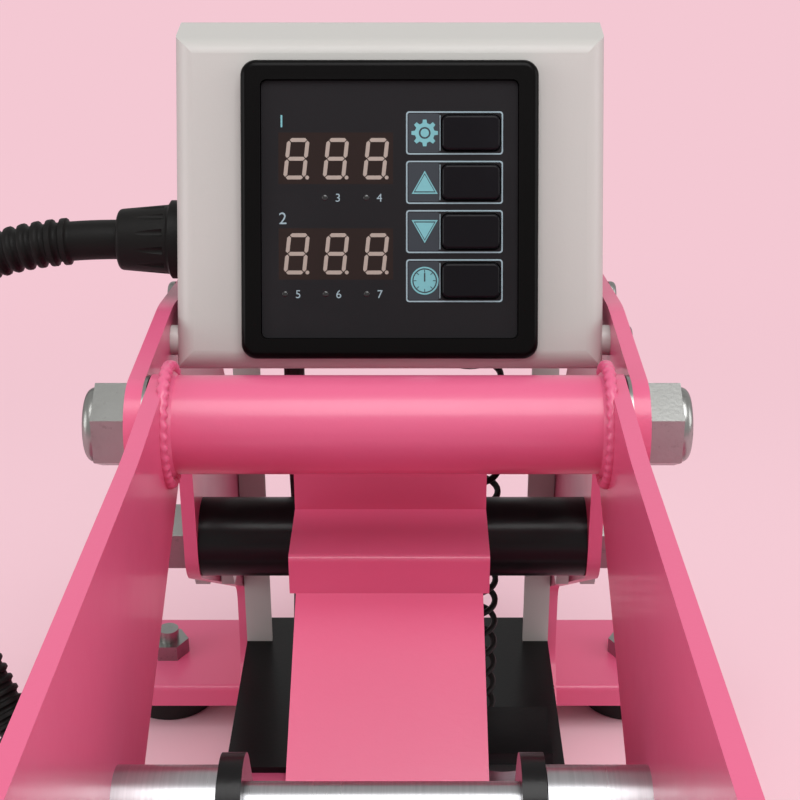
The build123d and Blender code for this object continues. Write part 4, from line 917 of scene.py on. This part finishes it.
def number_print(name, text, x, y, tall, finish):
    """A plain number on the film, its left foot at x, y in millimetres."""
    data = bpy.data.curves.new(name, "FONT")
    data.body, data.size, data.extrude = text, tall / FIGURE_SHARE, 0.025
    return printed(name, data, finish, on_panel(0.00002) @ Matrix.Translation((x, y, 0)))


number_print("number_window_1", "1", -36.2, 26.4, 4.0, teal_ink)
number_print("number_window_2", "2", -35.8, -4.6, 3.8, pale_ink)
for k, (x, y) in enumerate(LAMPS, 3):
    number_print(f"number_lamp_{k}", str(k), x + 3.3, y - 1.3, 2.6, pale_ink)
print("lamps:", len(LAMPS), "numbers:", len(LAMPS) + 2)

# %% [markdown]
# ## The rear face
# The mains inlet has three flat blades, the earth one longer, which a plug's sockets slide over.
# Each blade is a cube, stretched to its size and bevelled at its tip.

# %% Inlet blades
inlet_low, inlet_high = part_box("power_inlet")
inlet_mid = (inlet_low + inlet_high) / 2
INLET_X, BLADE_ROOT = -0.028, 0.2866
BLADES = ((-0.007, -0.002, 0.0105), (0.0, 0.0025, 0.0125), (0.007, -0.002, 0.0105))
blades = []
for x, z, long in BLADES:
    blade = fresh(bpy.ops.mesh.primitive_cube_add, size=1, scale=(0.002, long, 0.004),
                  location=(INLET_X + x, BLADE_ROOT + long / 2, inlet_mid.z + z))
    pick(blade, lambda c, n: n.y > 0.9)
    bpy.ops.mesh.bevel(offset=0.0006, segments=2, affect="EDGES")
    bpy.ops.object.mode_set(mode="OBJECT")
    blades.append(blade)
settle(joined(blades, "inlet_blades"), "inlet_blades", zinc, "frame", 35)

switch_low, switch_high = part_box("power_switch")
switch_mid = (switch_low + switch_high) / 2
print("blades:", len(BLADES), "switch middle in mm:", [round(v * 1000, 1) for v in switch_mid])

# %% [markdown]
# ## Press parts that need more than their plain solids
# The pressure screw is a plain rod in the solids. Here it gets a trapezoid thread with the Screw
# modifier: one tooth's profile is turned and raised 4 mm a turn, then the modifier is applied.
# A core closes the rod inside the thread.

# %% Threaded pressure screw
screw_low, screw_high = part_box("pressure_screw")
SCREW_R, ROOT_R, PITCH, THREAD_START, THREAD_ROOM = 0.008, 0.0066, 0.004, 0.001, 0.004
SCREW_X, SCREW_Y = 0.0, -0.127
tall = screw_high.z - screw_low.z
turns = int((tall - THREAD_ROOM) / PITCH)
profile = [(ROOT_R, 0.0), (ROOT_R, 0.0013), (SCREW_R, 0.0018), (SCREW_R, 0.0035), (ROOT_R, PITCH)]
thread = mesh_piece("pressure_screw_thread", [(r, 0, z) for r, z in profile], [],
                    [(i, i + 1) for i in range(len(profile) - 1)])
turned = thread.modifiers.new("Thread", "SCREW")
turned.axis, turned.steps, turned.render_steps = "Z", 28, 28
turned.screw_offset, turned.iterations, turned.use_merge_vertices = PITCH, turns, True
thread.location = (SCREW_X, SCREW_Y, screw_low.z + THREAD_START)
select_only(thread)
bpy.ops.object.modifier_apply(modifier="Thread")
bpy.ops.object.transform_apply(location=True, rotation=True, scale=True)
pick_all(thread)
bpy.ops.mesh.remove_doubles(threshold=0.00001)
bpy.ops.mesh.normals_make_consistent(inside=False)
bpy.ops.object.mode_set(mode="OBJECT")
core = fresh(bpy.ops.mesh.primitive_cylinder_add, vertices=48, radius=ROOT_R + 0.00005, depth=tall,
             location=(SCREW_X, SCREW_Y, (screw_low.z + screw_high.z) / 2))
pick(core, lambda c, n: abs(n.z) > 0.9)
bpy.ops.mesh.bevel(offset=0.0008, segments=2, affect="EDGES")
bpy.ops.object.mode_set(mode="OBJECT")
screw = settle(joined([core, thread], "threaded_screw"), "threaded_screw", upright_ground, "screw",
               40)
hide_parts("pressure_screw")
print("screw:", turns, "turns over", round(tall * 1000, 1), "mm")

# %% [markdown]
# ### Foam grip
# The grip is a foam sleeve pushed over the bar: soft rounded ends, and a slight waist where
# hands have pressed it. It starts as a cylinder that is cut across into rings, and the rings are
# then drawn in by a smooth profile.

# %% Foam grip
grip_low, grip_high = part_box("hand_grip")
grip_mid = (grip_low + grip_high) / 2
grip_r = (grip_high.z - grip_low.z) / 2
grip_half = (grip_high.x - grip_low.x) / 2
RINGS, WAIST, END_ROUND, END_SHARE = 24, 0.0006, 0.0035, 0.06
grip = fresh(bpy.ops.mesh.primitive_cylinder_add, vertices=64, radius=grip_r, depth=2 * grip_half,
             end_fill_type="NGON", location=grip_mid, rotation=(0, pi / 2, 0))
for k in range(1, RINGS):
    pick_all(grip)
    bpy.ops.mesh.bisect(plane_co=(grip_low.x + 2 * grip_half * k / RINGS, 0, 0), plane_no=(1, 0, 0))
    bpy.ops.object.mode_set(mode="OBJECT")
pick(grip, lambda c, n: abs(n.x) > 0.9)
bpy.ops.mesh.inset(thickness=0.003)
bpy.ops.object.mode_set(mode="OBJECT")
for v in grip.data.vertices:
    share = abs(v.co.x - grip_mid.x) / grip_half
    side = Vector((0, v.co.y - grip_mid.y, v.co.z - grip_mid.z))
    if side.length > grip_r - 0.0005:
        end = max(0, (share - 1 + END_SHARE) / END_SHARE)
        v.co -= side.normalized() * (WAIST * cos(share * pi * 1.5) ** 2 + END_ROUND * end ** 2)
settle(grip, "foam_grip", foam, "handle", 50)
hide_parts("hand_grip")
print("grip:", round(2 * grip_half * 1000), "mm long,", round(2 * grip_r * 1000), "mm thick")

# %% [markdown]
# ### Silicone pad
# The lower platen carries a soft silicone sheet, 6 mm thick, with rounded corners and a softly
# rolled edge. It is a cube, bevelled at its corners. Its two faces are inset, and the rims outside
# the insets are drawn together.

# %% Silicone pad
pad_low, pad_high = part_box("silicone_pad")
pad_mid, pad_size = (pad_low + pad_high) / 2, pad_high - pad_low
CORNER_R, ROLL, ROLL_SHARE = 0.010, 0.0016, 0.6
pad = fresh(bpy.ops.mesh.primitive_cube_add, size=1, location=pad_mid, scale=pad_size)
pick(pad, lambda c, run: abs(run.normalized().z) > 0.9, "EDGE")
bpy.ops.mesh.bevel(offset=CORNER_R, segments=10, affect="EDGES")
bpy.ops.object.mode_set(mode="OBJECT")
pick(pad, lambda c, n: abs(n.z) > 0.9)
bpy.ops.mesh.inset(thickness=ROLL)
bpy.ops.object.mode_set(mode="OBJECT")
for v in pad.data.vertices:
    from_mid = v.co - pad_mid
    if min(pad_size.x / 2 - abs(from_mid.x), pad_size.y / 2 - abs(from_mid.y)) < 0.0005:
        v.co.z = pad_mid.z + from_mid.z * ROLL_SHARE
settle(pad, "silicone_sheet", silicone, "frame", 40)
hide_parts("silicone_pad")
print("pad in mm:", [round(v * 1000, 1) for v in pad_size])

# %% [markdown]
# ### Weld beads
# The handle's cross tube is welded to its plates, and a bead runs round each end. A bead is a
# slim torus with ripples pressed in along its length.

# %% Weld beads
tube_low, tube_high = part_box("handle_cross_tube")
tube_mid = (tube_low + tube_high) / 2
tube_r = (tube_high.z - tube_low.z) / 2
BEAD_R, BEAD_PROUD, BEAD_IN, RIPPLES, RIPPLE = 0.0017, 0.0004, 0.0002, 34, 0.00035
beads = []
for side in (-1, 1):
    bead = fresh(bpy.ops.mesh.primitive_torus_add, major_segments=180, minor_segments=10,
                 major_radius=tube_r + BEAD_PROUD, minor_radius=BEAD_R, rotation=(0, pi / 2, 0),
                 location=(side * (tube_high.x - BEAD_IN), tube_mid.y, tube_mid.z))
    for v in bead.data.vertices:
        a = atan2(v.co.z - tube_mid.z, v.co.y - tube_mid.y)
        v.co.x += side * RIPPLE * sin(a * RIPPLES)
    beads.append(bead)
settle(joined(beads, "tube_weld_beads"), "tube_weld_beads", pink_paint, "handle", 60)
print("weld beads: 2 on a tube of", round(2 * tube_r * 1000), "mm")

# %% Sizes and finish
low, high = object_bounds()
print("dressed size in mm:", [round(v * 1000, 1) for v in high - low])
